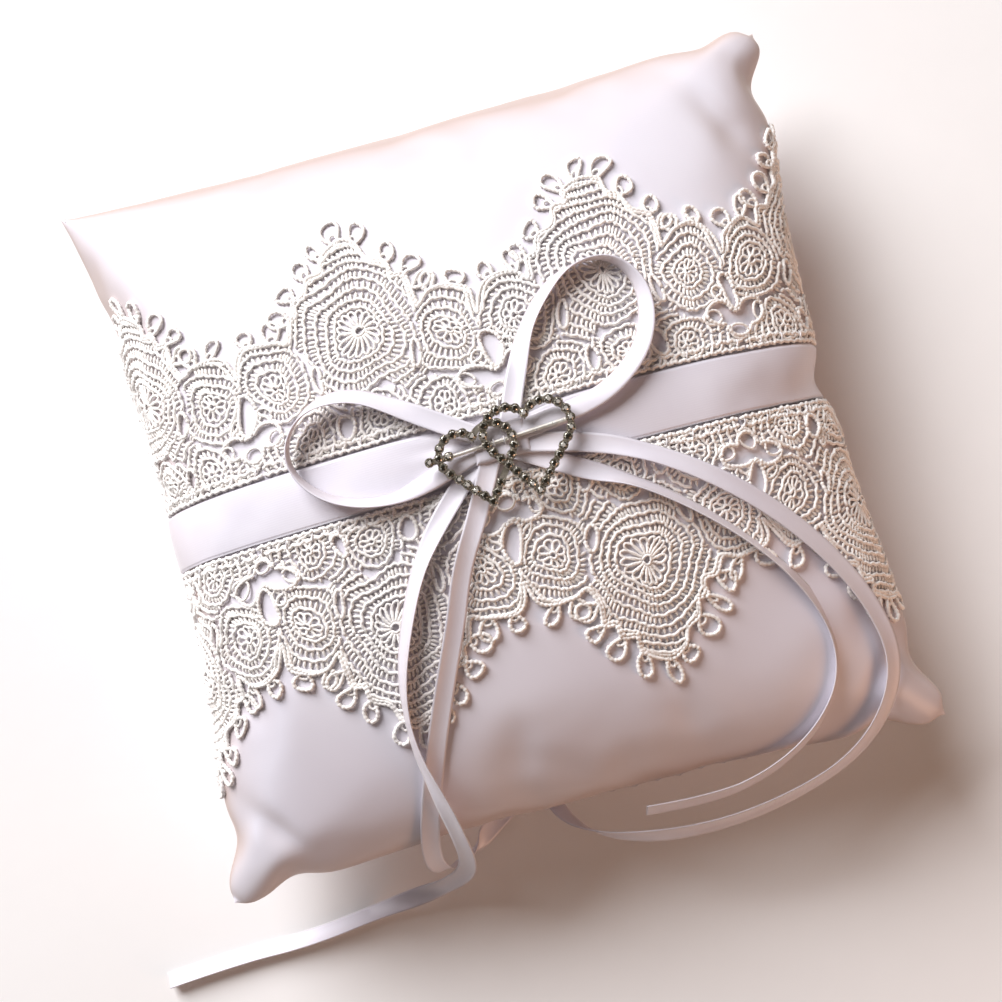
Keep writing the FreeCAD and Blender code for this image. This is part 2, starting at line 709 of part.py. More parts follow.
os.makedirs("parts", exist_ok=True)
for obj in parts:
    box = obj.Shape.BoundBox
    print(
        "%-22s solids %3d volume %10.1f box %s"
        % (
            obj.Label,
            len(obj.Shape.Solids),
            obj.Shape.Volume,
            [round(v, 1) for v in (box.XMin, box.XMax, box.YMin, box.YMax, box.ZMin, box.ZMax)],
        )
    )
    obj.Shape.exportStep("parts/%s.step" % obj.Label)
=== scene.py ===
import logging
import math
from dataclasses import dataclass
from enum import Enum
from typing import ClassVar, Sequence

import bmesh
import bpy
import numpy as np
from mathutils import Matrix, Vector


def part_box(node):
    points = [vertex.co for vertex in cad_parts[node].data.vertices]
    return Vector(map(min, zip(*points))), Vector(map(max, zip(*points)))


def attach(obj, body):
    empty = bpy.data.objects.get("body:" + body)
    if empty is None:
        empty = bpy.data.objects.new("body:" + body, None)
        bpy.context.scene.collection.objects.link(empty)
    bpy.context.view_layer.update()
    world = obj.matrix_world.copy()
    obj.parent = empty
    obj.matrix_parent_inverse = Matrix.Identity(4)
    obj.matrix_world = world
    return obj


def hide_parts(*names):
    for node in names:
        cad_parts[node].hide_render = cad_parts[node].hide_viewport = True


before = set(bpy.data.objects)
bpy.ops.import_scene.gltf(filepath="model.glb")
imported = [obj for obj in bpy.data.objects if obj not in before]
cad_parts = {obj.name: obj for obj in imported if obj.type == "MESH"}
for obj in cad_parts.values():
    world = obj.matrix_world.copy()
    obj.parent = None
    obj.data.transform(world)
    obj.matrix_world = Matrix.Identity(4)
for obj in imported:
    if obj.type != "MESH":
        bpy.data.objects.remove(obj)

log = logging.getLogger("ring_bearer_pillow")

MM = 0.001
Point2 = tuple[float, float]
Point3 = tuple[float, float, float]
Colour = tuple[float, float, float]


# ------------------------------------------------------------------ shading
class Graph:
    """A material's node tree, with one method that adds any node."""

    def __init__(self, name: str) -> None:
        """Starts an empty material.

        Args:
            name: the material's name.
        """
        self.material = bpy.data.materials.new(name)
        self.material.use_nodes = True
        self.tree = self.material.node_tree
        self.tree.nodes.clear()
        self.output = self.tree.nodes.new("ShaderNodeOutputMaterial")

    def add(self, kind: str, settings: dict | None = None, **sockets: object) -> bpy.types.Node:
        """Adds a node.

        Args:
            kind: the node's type, without its "ShaderNode" prefix.
            settings: attributes of the node itself.
            **sockets: input values or links, by socket name with underscores for spaces.

        Returns:
            The new node.
        """
        node = self.tree.nodes.new("ShaderNode" + kind)
        for key, value in (settings or {}).items():
            setattr(node, key, value)
        for key, value in sockets.items():
            name = key.replace("_", " ")
            if name not in node.inputs and key[1:].isdigit():
                socket = node.inputs[int(key[1:])]
            else:
                socket = node.inputs[name]
            self.feed(socket, value)
        return node

    def feed(self, socket: bpy.types.NodeSocket, value: object) -> None:
        """Links or sets one input socket."""
        if isinstance(value, Signal):
            value = value.socket
        if isinstance(value, bpy.types.NodeSocket):
            self.tree.links.new(value, socket)
        elif isinstance(value, tuple) and socket.type == "RGBA" and len(value) == 3:
            socket.default_value = (*value, 1.0)
        else:
            socket.default_value = value

    def signal(self, node: bpy.types.Node, output: str | int = 0) -> "Signal":
        """One output of a node as a signal that can be calculated with."""
        return Signal(self, node.outputs[output])

    def surface(self, shader: bpy.types.Node) -> bpy.types.Material:
        """Sends a shader to the material's surface and returns the material."""
        self.tree.links.new(shader.outputs[0], self.output.inputs["Surface"])
        return self.material

    def coordinates(self) -> "Signal":
        """Places on the object, in metres."""
        return self.signal(self.add("TexCoord"), "Object")

    def noise(self, where: "Signal", scale: float, detail: float = 2.0) -> "Signal":
        """Soft noise from 0 to 1."""
        return self.signal(self.add("TexNoise", Vector=where, Scale=scale, Detail=detail), "Fac")

    def stretch(self, where: "Signal", scale: Point3, turn: float = 0.0) -> "Signal":
        """Coordinates scaled along each axis and turned about Z, in radians."""
        node = self.add("Mapping", Vector=where, Scale=scale, Rotation=(0.0, 0.0, turn))
        return self.signal(node)

    def mix(
        self, share: "Signal | float", low: "Colour | Signal", high: "Colour | Signal"
    ) -> "Signal":
        """A colour between two, by a share from 0 to 1."""
        node = self.add("Mix", {"data_type": "RGBA"})
        self.feed(node.inputs[0], share)
        self.feed(node.inputs[6], low)
        self.feed(node.inputs[7], high)
        return self.signal(node, 2)

    def bump(self, height: "Signal", strength: float, depth: float) -> "Signal":
        """A surface normal bumped by a height signal."""
        return self.signal(self.add("Bump", Height=height, Strength=strength, Distance=depth))


@dataclass
class Signal:
    """A number that flows through a material's nodes, with ordinary arithmetic."""

    graph: Graph
    socket: bpy.types.NodeSocket

    def _calculate(self, kind: str, *values: "Signal | float") -> "Signal":
        """One arithmetic node over the values.

        Args:
            kind: the node's operation.
            *values: what it works on, in order.

        Returns:
            Its result.
        """
        node = self.graph.add("Math", {"operation": kind})
        for socket, value in zip(node.inputs, values):
            self.graph.feed(socket, value)
        return self.graph.signal(node)

    def __add__(self, other: "Signal | float") -> "Signal":
        """self plus other."""
        return self._calculate("ADD", self, other)

    def __radd__(self, other: float) -> "Signal":
        """other plus self."""
        return self._calculate("ADD", other, self)

    def __sub__(self, other: "Signal | float") -> "Signal":
        """self less other."""
        return self._calculate("SUBTRACT", self, other)

    def __rsub__(self, other: float) -> "Signal":
        """other less self."""
        return self._calculate("SUBTRACT", other, self)

    def __mul__(self, other: "Signal | float") -> "Signal":
        """self times other."""
        return self._calculate("MULTIPLY", self, other)

    def __rmul__(self, other: float) -> "Signal":
        """other times self."""
        return self._calculate("MULTIPLY", other, self)

    def __truediv__(self, other: "Signal | float") -> "Signal":
        """self over other."""
        return self._calculate("DIVIDE", self, other)

    def __rtruediv__(self, other: float) -> "Signal":
        """other over self."""
        return self._calculate("DIVIDE", other, self)

    def __pow__(self, other: float) -> "Signal":
        """self raised to other."""
        return self._calculate("POWER", self, other)

    def sine(self) -> "Signal":
        """The sine, in radians."""
        return self._calculate("SINE", self)

    def between(self, low: float, high: float) -> "Signal":
        """Rescaled so that low becomes 0 and high becomes 1, cut off outside."""
        node = self.graph.add("MapRange", Value=self, From_Min=low, From_Max=high)
        return self.graph.signal(node)


@dataclass(frozen=True)
class SatinFinish:
    """Polyester satin: long floats that shine, over a very fine weave, with a painted brown reflection and
    painted shade where it is seen at a slant.
    """

    name: str
    colour: Colour = (0.83, 0.81, 0.885)
    shade: Colour = (0.78, 0.755, 0.84)
    # painted brown reflection and painted shade, and the most of it that is mixed in where the surface is
    # seen at a slant
    painted_reflection_colour: Colour = (0.44, 0.31, 0.25)
    painted_reflection_share: float = 0.85
    roughness: float = 0.36
    thread: float = 0.28 * MM
    sheen: float = 0.25

    def tone(self, graph: Graph, cloud: Signal) -> Signal:
        """Its colour: clouded a little, and darkened by a painted brown reflection and painted shade where
        it is seen at a slant.
        """
        painted_reflection_mask = graph.signal(graph.add("LayerWeight", Blend=0.5), "Facing")
        open_tone = graph.mix(cloud.between(0.35, 0.7), self.colour, self.shade)
        # mixes in the painted brown reflection and painted shade by how far the surface turns from the
        # camera
        return graph.mix(painted_reflection_mask.between(0.18, 0.72) * self.painted_reflection_share, open_tone, self.painted_reflection_colour)

    def material(self) -> bpy.types.Material:
        """The finish as a material."""
        graph = Graph(self.name)
        place = graph.coordinates()
        weft = graph.signal(
            graph.add(
                "TexWave",
                {"wave_type": "BANDS", "bands_direction": "Y"},
                Vector=place,
                Scale=0.9 / (self.thread * 2 * math.pi),
                Distortion=1.2,
                Detail=1.0,
            ),
            "Fac",
        )
        slub = graph.noise(graph.stretch(place, (60.0, 900.0, 60.0)), 4.0)
        cloud = graph.noise(place, 22.0, 3.0)
        shader = graph.add(
            "BsdfPrincipled",
            Base_Color=self.tone(graph, cloud),
            Roughness=cloud * 0.08 + (self.roughness - 0.04) + slub * 0.05,
            Normal=graph.bump(weft * 0.7 + slub * 0.6, 0.12, 0.05 * MM),
            Specular_IOR_Level=0.5,
            Sheen_Weight=self.sheen,
            Sheen_Roughness=0.35,
        )
        return graph.surface(shader)


@dataclass(frozen=True)
class RibbonFinish(SatinFinish):
    """Satin ribbon: fine ribs along its length and a firm selvedge at each edge."""

    attribute: str = "across"
    ribs: float = 26.0

    def material(self) -> bpy.types.Material:
        """The finish as a material."""
        graph = Graph(self.name)
        place = graph.coordinates()
        across = graph.signal(graph.add("Attribute", {"attribute_name": self.attribute}), "Fac")
        cloud = graph.noise(place, 60.0, 3.0)
        rib = (across * (self.ribs * math.pi)).sine() * 0.5 + 0.5
        edge = (across * across).between(0.78, 0.95)
        fleck = graph.noise(place, 700.0, 1.0)
        shader = graph.add(
            "BsdfPrincipled",
            Base_Color=graph.mix(
                edge * 0.3 + rib * 0.1,
                # the tone carries the painted brown reflection and painted shade seen at a slant
                self.tone(graph, cloud),
                tuple(0.86 * part for part in self.colour),
            ),
            Roughness=fleck * 0.06 + edge * 0.15 + self.roughness,
            Normal=graph.bump(rib * 0.5 + edge + fleck * 0.3, 0.25, 0.06 * MM),
            Specular_IOR_Level=0.55,
            Sheen_Weight=self.sheen,
            Sheen_Roughness=0.3,
        )
        return graph.surface(shader)


@dataclass(frozen=True)
class CordFinish:
    """Matt spun thread with a fine twist, for lace and sewing."""

    name: str
    colour: Colour = (1.0, 0.98, 0.955)
    shade: Colour = (0.95, 0.91, 0.87)
    twist: float = 0.5 * MM
    shine: float = 0.3

    def material(self) -> bpy.types.Material:
        """The finish as a material."""
        graph = Graph(self.name)
        place = graph.coordinates()
        strand = graph.signal(
            graph.add(
                "TexWave",
                {"wave_type": "BANDS", "bands_direction": "DIAGONAL"},
                Vector=place,
                Scale=1 / (self.twist * 2 * math.pi),
                Distortion=2.0,
                Detail=1.0,
            ),
            "Fac",
        )
        patch = graph.noise(place, 140.0, 3.0)
        fleck = graph.noise(place, 900.0, 1.0)
        tone = patch.between(0.35, 0.7) * 0.6 + fleck.between(0.4, 0.7) * 0.4
        shader = graph.add(
            "BsdfPrincipled",
            Base_Color=graph.mix(tone, self.colour, self.shade),
            Roughness=0.58 - strand * 0.2,
            Normal=graph.bump(strand + fleck * 0.5, 0.5, 0.08 * MM),
            Specular_IOR_Level=self.shine,
            Sheen_Weight=0.5,
            Sheen_Roughness=0.4,
        )
        return graph.surface(shader)


@dataclass(frozen=True)
class PlatedFinish:
    """Bright nickel plate with faint smears and patches of tarnish."""

    name: str
    colour: Colour = (0.72, 0.68, 0.59)
    tarnish: Colour = (0.2, 0.17, 0.11)
    roughness: float = 0.2
    metallic: float = 0.9

    def material(self) -> bpy.types.Material:
        """The finish as a material."""
        graph = Graph(self.name)
        place = graph.coordinates()
        smear = graph.noise(place, 500.0, 3.0)
        shader = graph.add(
            "BsdfPrincipled",
            Base_Color=graph.mix(smear.between(0.42, 0.68), self.colour, self.tarnish),
            Roughness=smear * 0.2 + self.roughness,
            Metallic=self.metallic,
            Normal=graph.bump(smear, 0.2, 0.05 * MM),
        )
        return graph.surface(shader)


@dataclass(frozen=True)
class StoneFinish:
    """Foil-backed cut stone: each facet's colour is painted dark or bright by a tone per face, as painted
    reflections of a darker or a brighter piece of the room and painted glints.
    """

    name: str
    attribute: str = "painted_facet_glint"
    # painted dark reflection and painted glint colours of the facets
    painted_dark_reflection: Colour = (0.035, 0.03, 0.018)
    painted_glint: Colour = (0.95, 0.93, 0.86)

    def material(self) -> bpy.types.Material:
        """The finish as a material."""
        graph = Graph(self.name)
        tone = graph.signal(graph.add("Attribute", {"attribute_name": self.attribute}), "Fac")
        shader = graph.add(
            "BsdfPrincipled",
            # each facet's painted tone picks between the painted dark reflection and the painted glint
            Base_Color=graph.mix(tone.between(0.35, 0.85), self.painted_dark_reflection, self.painted_glint),
            Roughness=0.06 + tone * 0.05,
            Metallic=0.55,
            Coat_Weight=1.0,
            Coat_Roughness=0.03,
        )
        return graph.surface(shader)


@dataclass(frozen=True)
class FibreFinish:
    """Loose polyester wadding."""

    name: str
    colour: Colour = (0.9, 0.9, 0.92)
    hollow: Colour = (0.7, 0.7, 0.74)

    def material(self) -> bpy.types.Material:
        """The finish as a material."""
        graph = Graph(self.name)
        fluff = graph.noise(graph.coordinates(), 260.0, 6.0)
        shader = graph.add(
            "BsdfPrincipled",
            Base_Color=graph.mix(fluff, self.colour, self.hollow),
            Roughness=0.95,
            Normal=graph.bump(fluff, 0.8, 1.0 * MM),
        )
        return graph.surface(shader)


@dataclass(frozen=True)
class FloorFinish:
    """Plain pale paper sweep."""

    name: str
    colour: Colour = (0.93, 0.93, 0.93)

    def material(self) -> bpy.types.Material:
        """The finish as a material."""
        graph = Graph(self.name)
        grain = graph.noise(graph.coordinates(), 90.0, 2.0)
        shader = graph.add(
            "BsdfPrincipled",
            Base_Color=graph.mix(grain, self.colour, tuple(0.98 * c for c in self.colour)),
            Roughness=0.9,
            Specular_IOR_Level=0.1,
        )
        return graph.surface(shader)


# ------------------------------------------------------------------ meshes
class Pieces:
    """Collects points and faces of many small shapes, then makes one object of them."""

    def __init__(self) -> None:
        """Starts with no shapes."""
        self.points: list[np.ndarray] = []
        self.faces: list[np.ndarray] = []
        self.count = 0

    def add(self, points: np.ndarray, faces: np.ndarray) -> None:
        """Adds one shape.

        Args:
            points: its corners, one row each, in metres.
            faces: its quads, as rows of four corner numbers of its own.
        """
        self.points.append(points)
        self.faces.append(faces + self.count)
        self.count += len(points)

    def make(self, name: str, material: bpy.types.Material, smooth: bool = True) -> bpy.types.Object:
        """Makes the object and links it to the scene."""
        return mesh_object(name, np.vstack(self.points), np.vstack(self.faces), material, smooth)


def mesh_object(
    name: str,
    points: np.ndarray,
    faces: np.ndarray,
    material: bpy.types.Material,
    smooth: bool = True,
) -> bpy.types.Object:
    """A mesh object from arrays of points and of faces with equal corner counts."""
    mesh = bpy.data.meshes.new(name)
    corners = faces.shape[1]
    mesh.vertices.add(len(points))
    mesh.vertices.foreach_set("co", np.ascontiguousarray(points, dtype=np.float32).ravel())
    mesh.loops.add(faces.size)
    mesh.loops.foreach_set("vertex_index", faces.astype(np.int32).ravel())
    mesh.polygons.add(len(faces))
    starts = np.arange(len(faces), dtype=np.int32) * corners
    mesh.polygons.foreach_set("loop_start", starts)
    mesh.polygons.foreach_set("use_smooth", np.full(len(faces), smooth))
    mesh.update(calc_edges=True)
    mesh.validate()
    mesh.materials.append(material)
    made = bpy.data.objects.new(name, mesh)
    bpy.context.collection.objects.link(made)
    return made


def mark_across(piece: bpy.types.Object, shares: np.ndarray) -> None:
    """Marks each point of a ribbon with its place across the width, from -1 to 1."""
    layer = piece.data.attributes.new("across", "FLOAT", "POINT")
    layer.data.foreach_set("value", shares.astype(np.float32))


def grid_faces(rows: int, columns: int, closed: bool = False) -> np.ndarray:
    """Quads between the points of a grid, row by row; closed joins the last column to the first."""
    steps = columns if closed else columns - 1
    i, j = np.meshgrid(np.arange(rows - 1), np.arange(steps), indexing="ij")
    nxt = (j + 1) % columns
    corners = (i * columns + j, i * columns + nxt, (i + 1) * columns + nxt, (i + 1) * columns + j)
    return np.stack([corner.ravel() for corner in corners], axis=1)


def unit(vectors: np.ndarray) -> np.ndarray:
    """Rows scaled to length one."""
    return vectors / np.maximum(np.linalg.norm(vectors, axis=-1, keepdims=True), 1e-12)


def resample(path: np.ndarray, step: float) -> np.ndarray:
    """The same path with points about one step apart."""
    legs = np.linalg.norm(np.diff(path, axis=0), axis=1)
    along = np.concatenate([[0.0], np.cumsum(legs)])
    count = max(2, int(round(along[-1] / step)) + 1)
    places = np.linspace(0.0, along[-1], count)
    return np.stack([np.interp(places, along, path[:, k]) for k in range(path.shape[1])], axis=1)


# ------------------------------------------------------------------ cushion
@dataclass(frozen=True)
class CushionSize:
    """Overall form of the stuffed pillow, read from the CAD panels where it can be.

    Attributes:
        half_x: middle to corner along X.
        half_y: middle to corner along Y.
        seam: height of the seam.
        crown: top of the crown above the seam.
        drop: full depth of the back before the table flattens it.
        pull_x: how far each side seam is drawn in.
        pull_y: how far the head and foot seams are drawn in.
    """

    half_x: float
    half_y: float
    seam: float
    crown: float
    drop: float = 36.0 * MM
    pull_x: float = 9.5 * MM
    pull_y: float = 4.0 * MM

    @classmethod
    def from_frame(cls) -> "CushionSize":
        """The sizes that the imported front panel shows."""
        low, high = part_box("front_cover_panel")
        return cls(
            half_x=(high[0] - low[0]) / 2,
            half_y=(high[1] - low[1]) / 2,
            seam=low[2],
            crown=high[2] - low[2],
        )


@dataclass(frozen=True)
class Dent:
    """A soft hollow or, with a negative depth, a swelling of the cover.

    Attributes:
        middle: its middle on the plan.
        reach: its half length and half width.
        heading: the direction of its length, in degrees.
        depth: how far it goes in.
    """

    middle: Point2
    reach: Point2
    heading: float
    depth: float


@dataclass(frozen=True)
class Nip:
    """A place where the seam is drawn in, or pushed out where the depth is negative.

    Attributes:
        place: where it is on the seam's outline.
        reach: how far it spreads along the seam.
        heading: the direction it moves the seam, in degrees.
        depth: how far it moves it.
    """

    place: Point2
    reach: float
    heading: float
    depth: float


class Corner(Enum):
    """Corners of the pillow as signs of X and Y, with how far each one is shifted, in millimetres."""

    HEAD_LEFT = (-1, 1, 0.6, -3.6)
    HEAD_RIGHT = (1, 1, 1.2, 0.6)
    FOOT_RIGHT = (1, -1, -0.4, -0.4)
    FOOT_LEFT = (-1, -1, -0.5, 1.1)


class CushionSkin:
    """One side of the stuffed pillow as a grid of points that other pieces can be laid on."""

    STEPS = 241

    def __init__(self, size: CushionSize, front: bool) -> None:
        """Starts from the smooth form.

        Args:
            size: overall form of the pillow.
            front: whether this is the front panel.
        """
        self.size = size
        self.front = front
        turn = np.linspace(-math.pi / 2, math.pi / 2, self.STEPS)
        self.points = self.form(size, front, turn, turn)
        self.refresh()

    @staticmethod
    def form(size: CushionSize, front: bool, turn_x: np.ndarray, turn_y: np.ndarray) -> np.ndarray:
        """The smooth crowned form, before the cloth settles.

        Args:
            size: the pillow's sizes.
            front: whether it is the crown or the underside.
            turn_x: angles round the section along X, from seam to seam.
            turn_y: angles round the section along Y, from seam to seam.

        Returns:
            A grid of points.
        """
        across, along = np.meshgrid(turn_x, turn_y, indexing="ij")
        u, v = np.sin(across), np.sin(along)
        x = size.half_x * u - size.pull_x * u**3 * (1 - v * v)
        y = size.half_y * v - size.pull_y * v**3 * (1 - u * u)
        for corner in Corner:
            sign_x, sign_y, shift_x, shift_y = corner.value
            share = ((1 + sign_x * u) * (1 + sign_y * v) / 4) ** 2
            x += shift_x * MM * share
            y += shift_y * MM * share
        near_seam = np.maximum(np.abs(u), np.abs(v)) ** 10
        for nip in NIPS:
            away = np.hypot(x - nip.place[0], y - nip.place[1]) / nip.reach
            pull = nip.depth * np.exp(-(away**2)) * near_seam
            x += pull * math.cos(math.radians(nip.heading))
            y += pull * math.sin(math.radians(nip.heading))
        rise = np.cos(across) * np.cos(along)
        z = size.seam + (size.crown if front else -size.drop) * rise
        return np.stack([x, y, z], axis=-1)

    def refresh(self) -> None:
        """Works out the normals and the distances over the cover again."""
        if not self.front:
            self.points[..., 2] = np.maximum(self.points[..., 2], 0.3 * MM)
        self.normals = self.find_normals()
        middle = self.STEPS // 2
        self.arc_x = self.arc(self.points[:, middle])
        self.arc_y = self.arc(self.points[middle, :])

    def inside(self) -> np.ndarray:
        """One over the panel, falling to nothing at its seam."""
        edge = np.sin(np.linspace(0, math.pi, self.STEPS)) ** 0.5
        edge[[0, -1]] = 0
        return np.minimum.outer(edge, edge)

    def press(self, dent: Dent) -> None:
        """Moves the cover along its normal by one dent."""
        offset = self.points[..., :2] - np.array(dent.middle)
        heading = math.radians(dent.heading)
        along = offset @ np.array([math.cos(heading), math.sin(heading)])
        across = offset @ np.array([-math.sin(heading), math.cos(heading)])
        share = np.exp(-((along / dent.reach[0]) ** 2) - (across / dent.reach[1]) ** 2)
        self.points += self.find_normals() * (-dent.depth * share * self.inside())[..., None]

    def find_normals(self) -> np.ndarray:
        """Outward normals of the grid."""
        along_x = np.gradient(self.points, axis=0)
        along_y = np.gradient(self.points, axis=1)
        normals = np.cross(along_x, along_y)
        if not self.front:
            normals = -normals
        return unit(normals)

    @staticmethod
    def arc(line: np.ndarray) -> np.ndarray:
        """Distance along a middle line of the grid, zero at the crown."""
        legs = np.linalg.norm(np.diff(line, axis=0), axis=1)
        along = np.concatenate([[0.0], np.cumsum(legs)])
        return along - along[len(along) // 2]

    def lay(self, s: np.ndarray, t: np.ndarray, lift: np.ndarray | float = 0.0) -> tuple:
        """Places on the cover.

        Args:
            s: distances over the cover from its middle along X.
            t: distances over the cover from its middle along Y.
            lift: heights above the cover.

        Returns:
            The points and the cover's normals there.
        """
        last = self.STEPS - 1.001
        i = np.clip(np.interp(s, self.arc_x, np.arange(self.STEPS)), 0, last)
        j = np.clip(np.interp(t, self.arc_y, np.arange(self.STEPS)), 0, last)
        i0, j0 = np.floor(i).astype(int), np.floor(j).astype(int)
        a, b = (i - i0)[:, None], (j - j0)[:, None]

        def blend(values: np.ndarray) -> np.ndarray:
            """Values of the grid, weighted between the four points around each place."""
            near = values[i0, j0] * (1 - b) + values[i0, j0 + 1] * b
            far = values[i0 + 1, j0] * (1 - b) + values[i0 + 1, j0 + 1] * b
            return near * (1 - a) + far * a

        normals = unit(blend(self.normals))
        lifted = np.broadcast_to(np.asarray(lift, dtype=float), i.shape)
        return blend(self.points) + normals * lifted[:, None], normals


@dataclass(frozen=True)
class Stuffing:
    """Cloth simulation of the sewn cover being filled, which gives it its puckers.

    Attributes:
        rows: threads of the simulated cloth along each side.
        frames: how long it runs.
        pressure: how hard the filling pushes.
        cut: side of each flat panel, seam to seam.
        slack: smoothing passes that part its puckers from its overall swelling.
        keep: share of the puckers that is kept.
        cap: the furthest that a pucker may rise before it is scaled.
        ease: smoothing passes that take the crumple out of the puckers.
    """

    CLOTH: ClassVar[dict[str, float]] = {
        "quality": 5,
        "mass": 0.02,
        "tension_stiffness": 40,
        "compression_stiffness": 40,
        "shear_stiffness": 12,
        "bending_stiffness": 0.02,
        "tension_damping": 10,
        "compression_damping": 10,
        "shear_damping": 10,
        "bending_damping": 0.5,
        "air_damping": 5,
    }
    rows: int = 101
    frames: int = 34
    pressure: float = 8.0
    cut: float = 204.5 * MM
    slack: int = 70
    keep: float = 0.8
    cap: float = 3.0 * MM
    ease: int = 4

    def spacing(self, size: CushionSize) -> np.ndarray:
        """Angles round the middle section that part it into equal lengths."""
        fine = np.linspace(-math.pi / 2, math.pi / 2, 2001)
        speed = np.hypot(size.half_x * np.cos(fine), size.crown * np.sin(fine))
        length = np.concatenate([[0.0], np.cumsum((speed[1:] + speed[:-1]) / 2)])
        return np.interp(np.linspace(0, length[-1], self.rows), length, fine)

    def settle(self, front: CushionSkin, back: CushionSkin) -> None:
        """Fills the sewn cover and lays its puckers on both skins."""
        size = front.size
        turn = self.spacing(size)
        count = self.rows
        grids = [CushionSkin.form(size, side, turn, turn) for side in (True, False)]
        number = np.arange(count * count).reshape(count, count)
        inner = np.zeros((count, count), dtype=bool)
        inner[1:-1, 1:-1] = True
        under = number.copy()
        under[inner] = count * count + np.arange(inner.sum())
        start = np.vstack([grids[0].reshape(-1, 3), grids[1][inner]])
        flat = np.linspace(-0.5, 0.5, count) * self.cut
        cut_x, cut_y = np.meshgrid(flat, flat, indexing="ij")
        panel = np.stack([cut_x, cut_y, np.zeros_like(cut_x)], axis=-1)
        rest = np.vstack([panel.reshape(-1, 3), panel[inner] - np.array([0, 0, 0.5 * MM])])
        quads = grid_faces(count, count)
        faces = np.vstack([number.ravel()[quads][:, ::-1], under.ravel()[quads]])
        settled = self.simulate(start, rest, faces)
        moved = settled - start
        moved -= self.smooth(moved, faces, self.slack)
        moved = self.smooth(moved, faces, self.ease)
        length = np.linalg.norm(moved, axis=1, keepdims=True)
        moved *= self.keep * np.minimum(1, self.cap / np.maximum(length, 1e-9))
        for skin, table in ((front, number), (back, under)):
            weights = self.cubic(turn, np.linspace(-math.pi / 2, math.pi / 2, skin.STEPS))
            change = np.einsum("ai,ijk,bj->abk", weights, moved[table], weights)
            skin.points += change
            skin.refresh()
        log.info("settled the cover, largest pucker %.1f mm", float(length.max()) / MM)

    def simulate(self, start: np.ndarray, rest: np.ndarray, faces: np.ndarray) -> np.ndarray:
        """Runs the cloth and returns where its points end."""
        random = np.random.default_rng(5)
        start = start + random.normal(0, 0.03 * MM, start.shape)
        cloth = mesh_object("cover_cloth", start, faces, bpy.data.materials.new("cloth"))
        cloth.shape_key_add(name="Basis")
        key = cloth.shape_key_add(name="cut")
        key.data.foreach_set("co", rest.astype(np.float32).ravel())
        key.value = 0.0
        modifier = cloth.modifiers.new("Cloth", "CLOTH")
        settings = modifier.settings
        settings.rest_shape_key = key
        for name, value in self.CLOTH.items():
            setattr(settings, name, value)
        settings.use_pressure = True
        settings.uniform_pressure_force = self.pressure
        settings.use_pressure_volume = True
        settings.target_volume = self.volume(start, faces)
        settings.effector_weights.gravity = 0
        modifier.collision_settings.use_collision = False
        modifier.point_cache.frame_end = self.frames
        for frame_number in range(1, self.frames + 1):
            bpy.context.scene.frame_set(frame_number)
        shaped = cloth.evaluated_get(bpy.context.evaluated_depsgraph_get())
        ends = np.empty(len(start) * 3, dtype=np.float32)
        shaped.data.vertices.foreach_get("co", ends)
        mesh = cloth.data
        bpy.data.objects.remove(cloth)
        bpy.data.meshes.remove(mesh)
        bpy.context.scene.frame_set(1)
        return ends.reshape(-1, 3).astype(float)

    @staticmethod
    def volume(points: np.ndarray, faces: np.ndarray) -> float:
        """Room inside a closed skin of quads, in cubic metres."""
        a, b, c, d = (points[faces[:, k]] for k in range(4))
        return abs(float((a * (np.cross(b, c) + np.cross(c, d))).sum())) / 6

    def smooth(self, values: np.ndarray, faces: np.ndarray, passes: int) -> np.ndarray:
        """Values averaged with their neighbours, as many times as there are passes."""
        edges = np.vstack([faces[:, [k, (k + 1) % 4]] for k in range(4)])
        weight = np.bincount(edges.ravel(), minlength=len(values)).astype(float)
        result = values.copy()
        for _ in range(passes):
            total = np.stack(
                [
                    np.bincount(edges[:, 0], result[edges[:, 1], k], len(values))
                    + np.bincount(edges[:, 1], result[edges[:, 0], k], len(values))
                    for k in range(3)
                ],
                axis=1,
            )
            result = 0.3 * result + 0.7 * total / weight[:, None]
        return result

    @staticmethod
    def cubic(coarse: np.ndarray, fine: np.ndarray) -> np.ndarray:
        """Weights that carry values from coarse places to fine ones along a smooth curve."""
        place = np.interp(fine, coarse, np.arange(len(coarse)))
        base = np.clip(np.floor(place).astype(int), 0, len(coarse) - 2)
        t = place - base
        parts = (
            -0.5 * t + t**2 - 0.5 * t**3,
            1 - 2.5 * t**2 + 1.5 * t**3,
            0.5 * t + 2 * t**2 - 1.5 * t**3,
            -0.5 * t**2 + 0.5 * t**3,
        )
        weights = np.zeros((len(fine), len(coarse)))
        for shift, part in enumerate(parts):
            index = np.clip(base + shift - 1, 0, len(coarse) - 1)
            np.add.at(weights, (np.arange(len(fine)), index), part)
        return weights


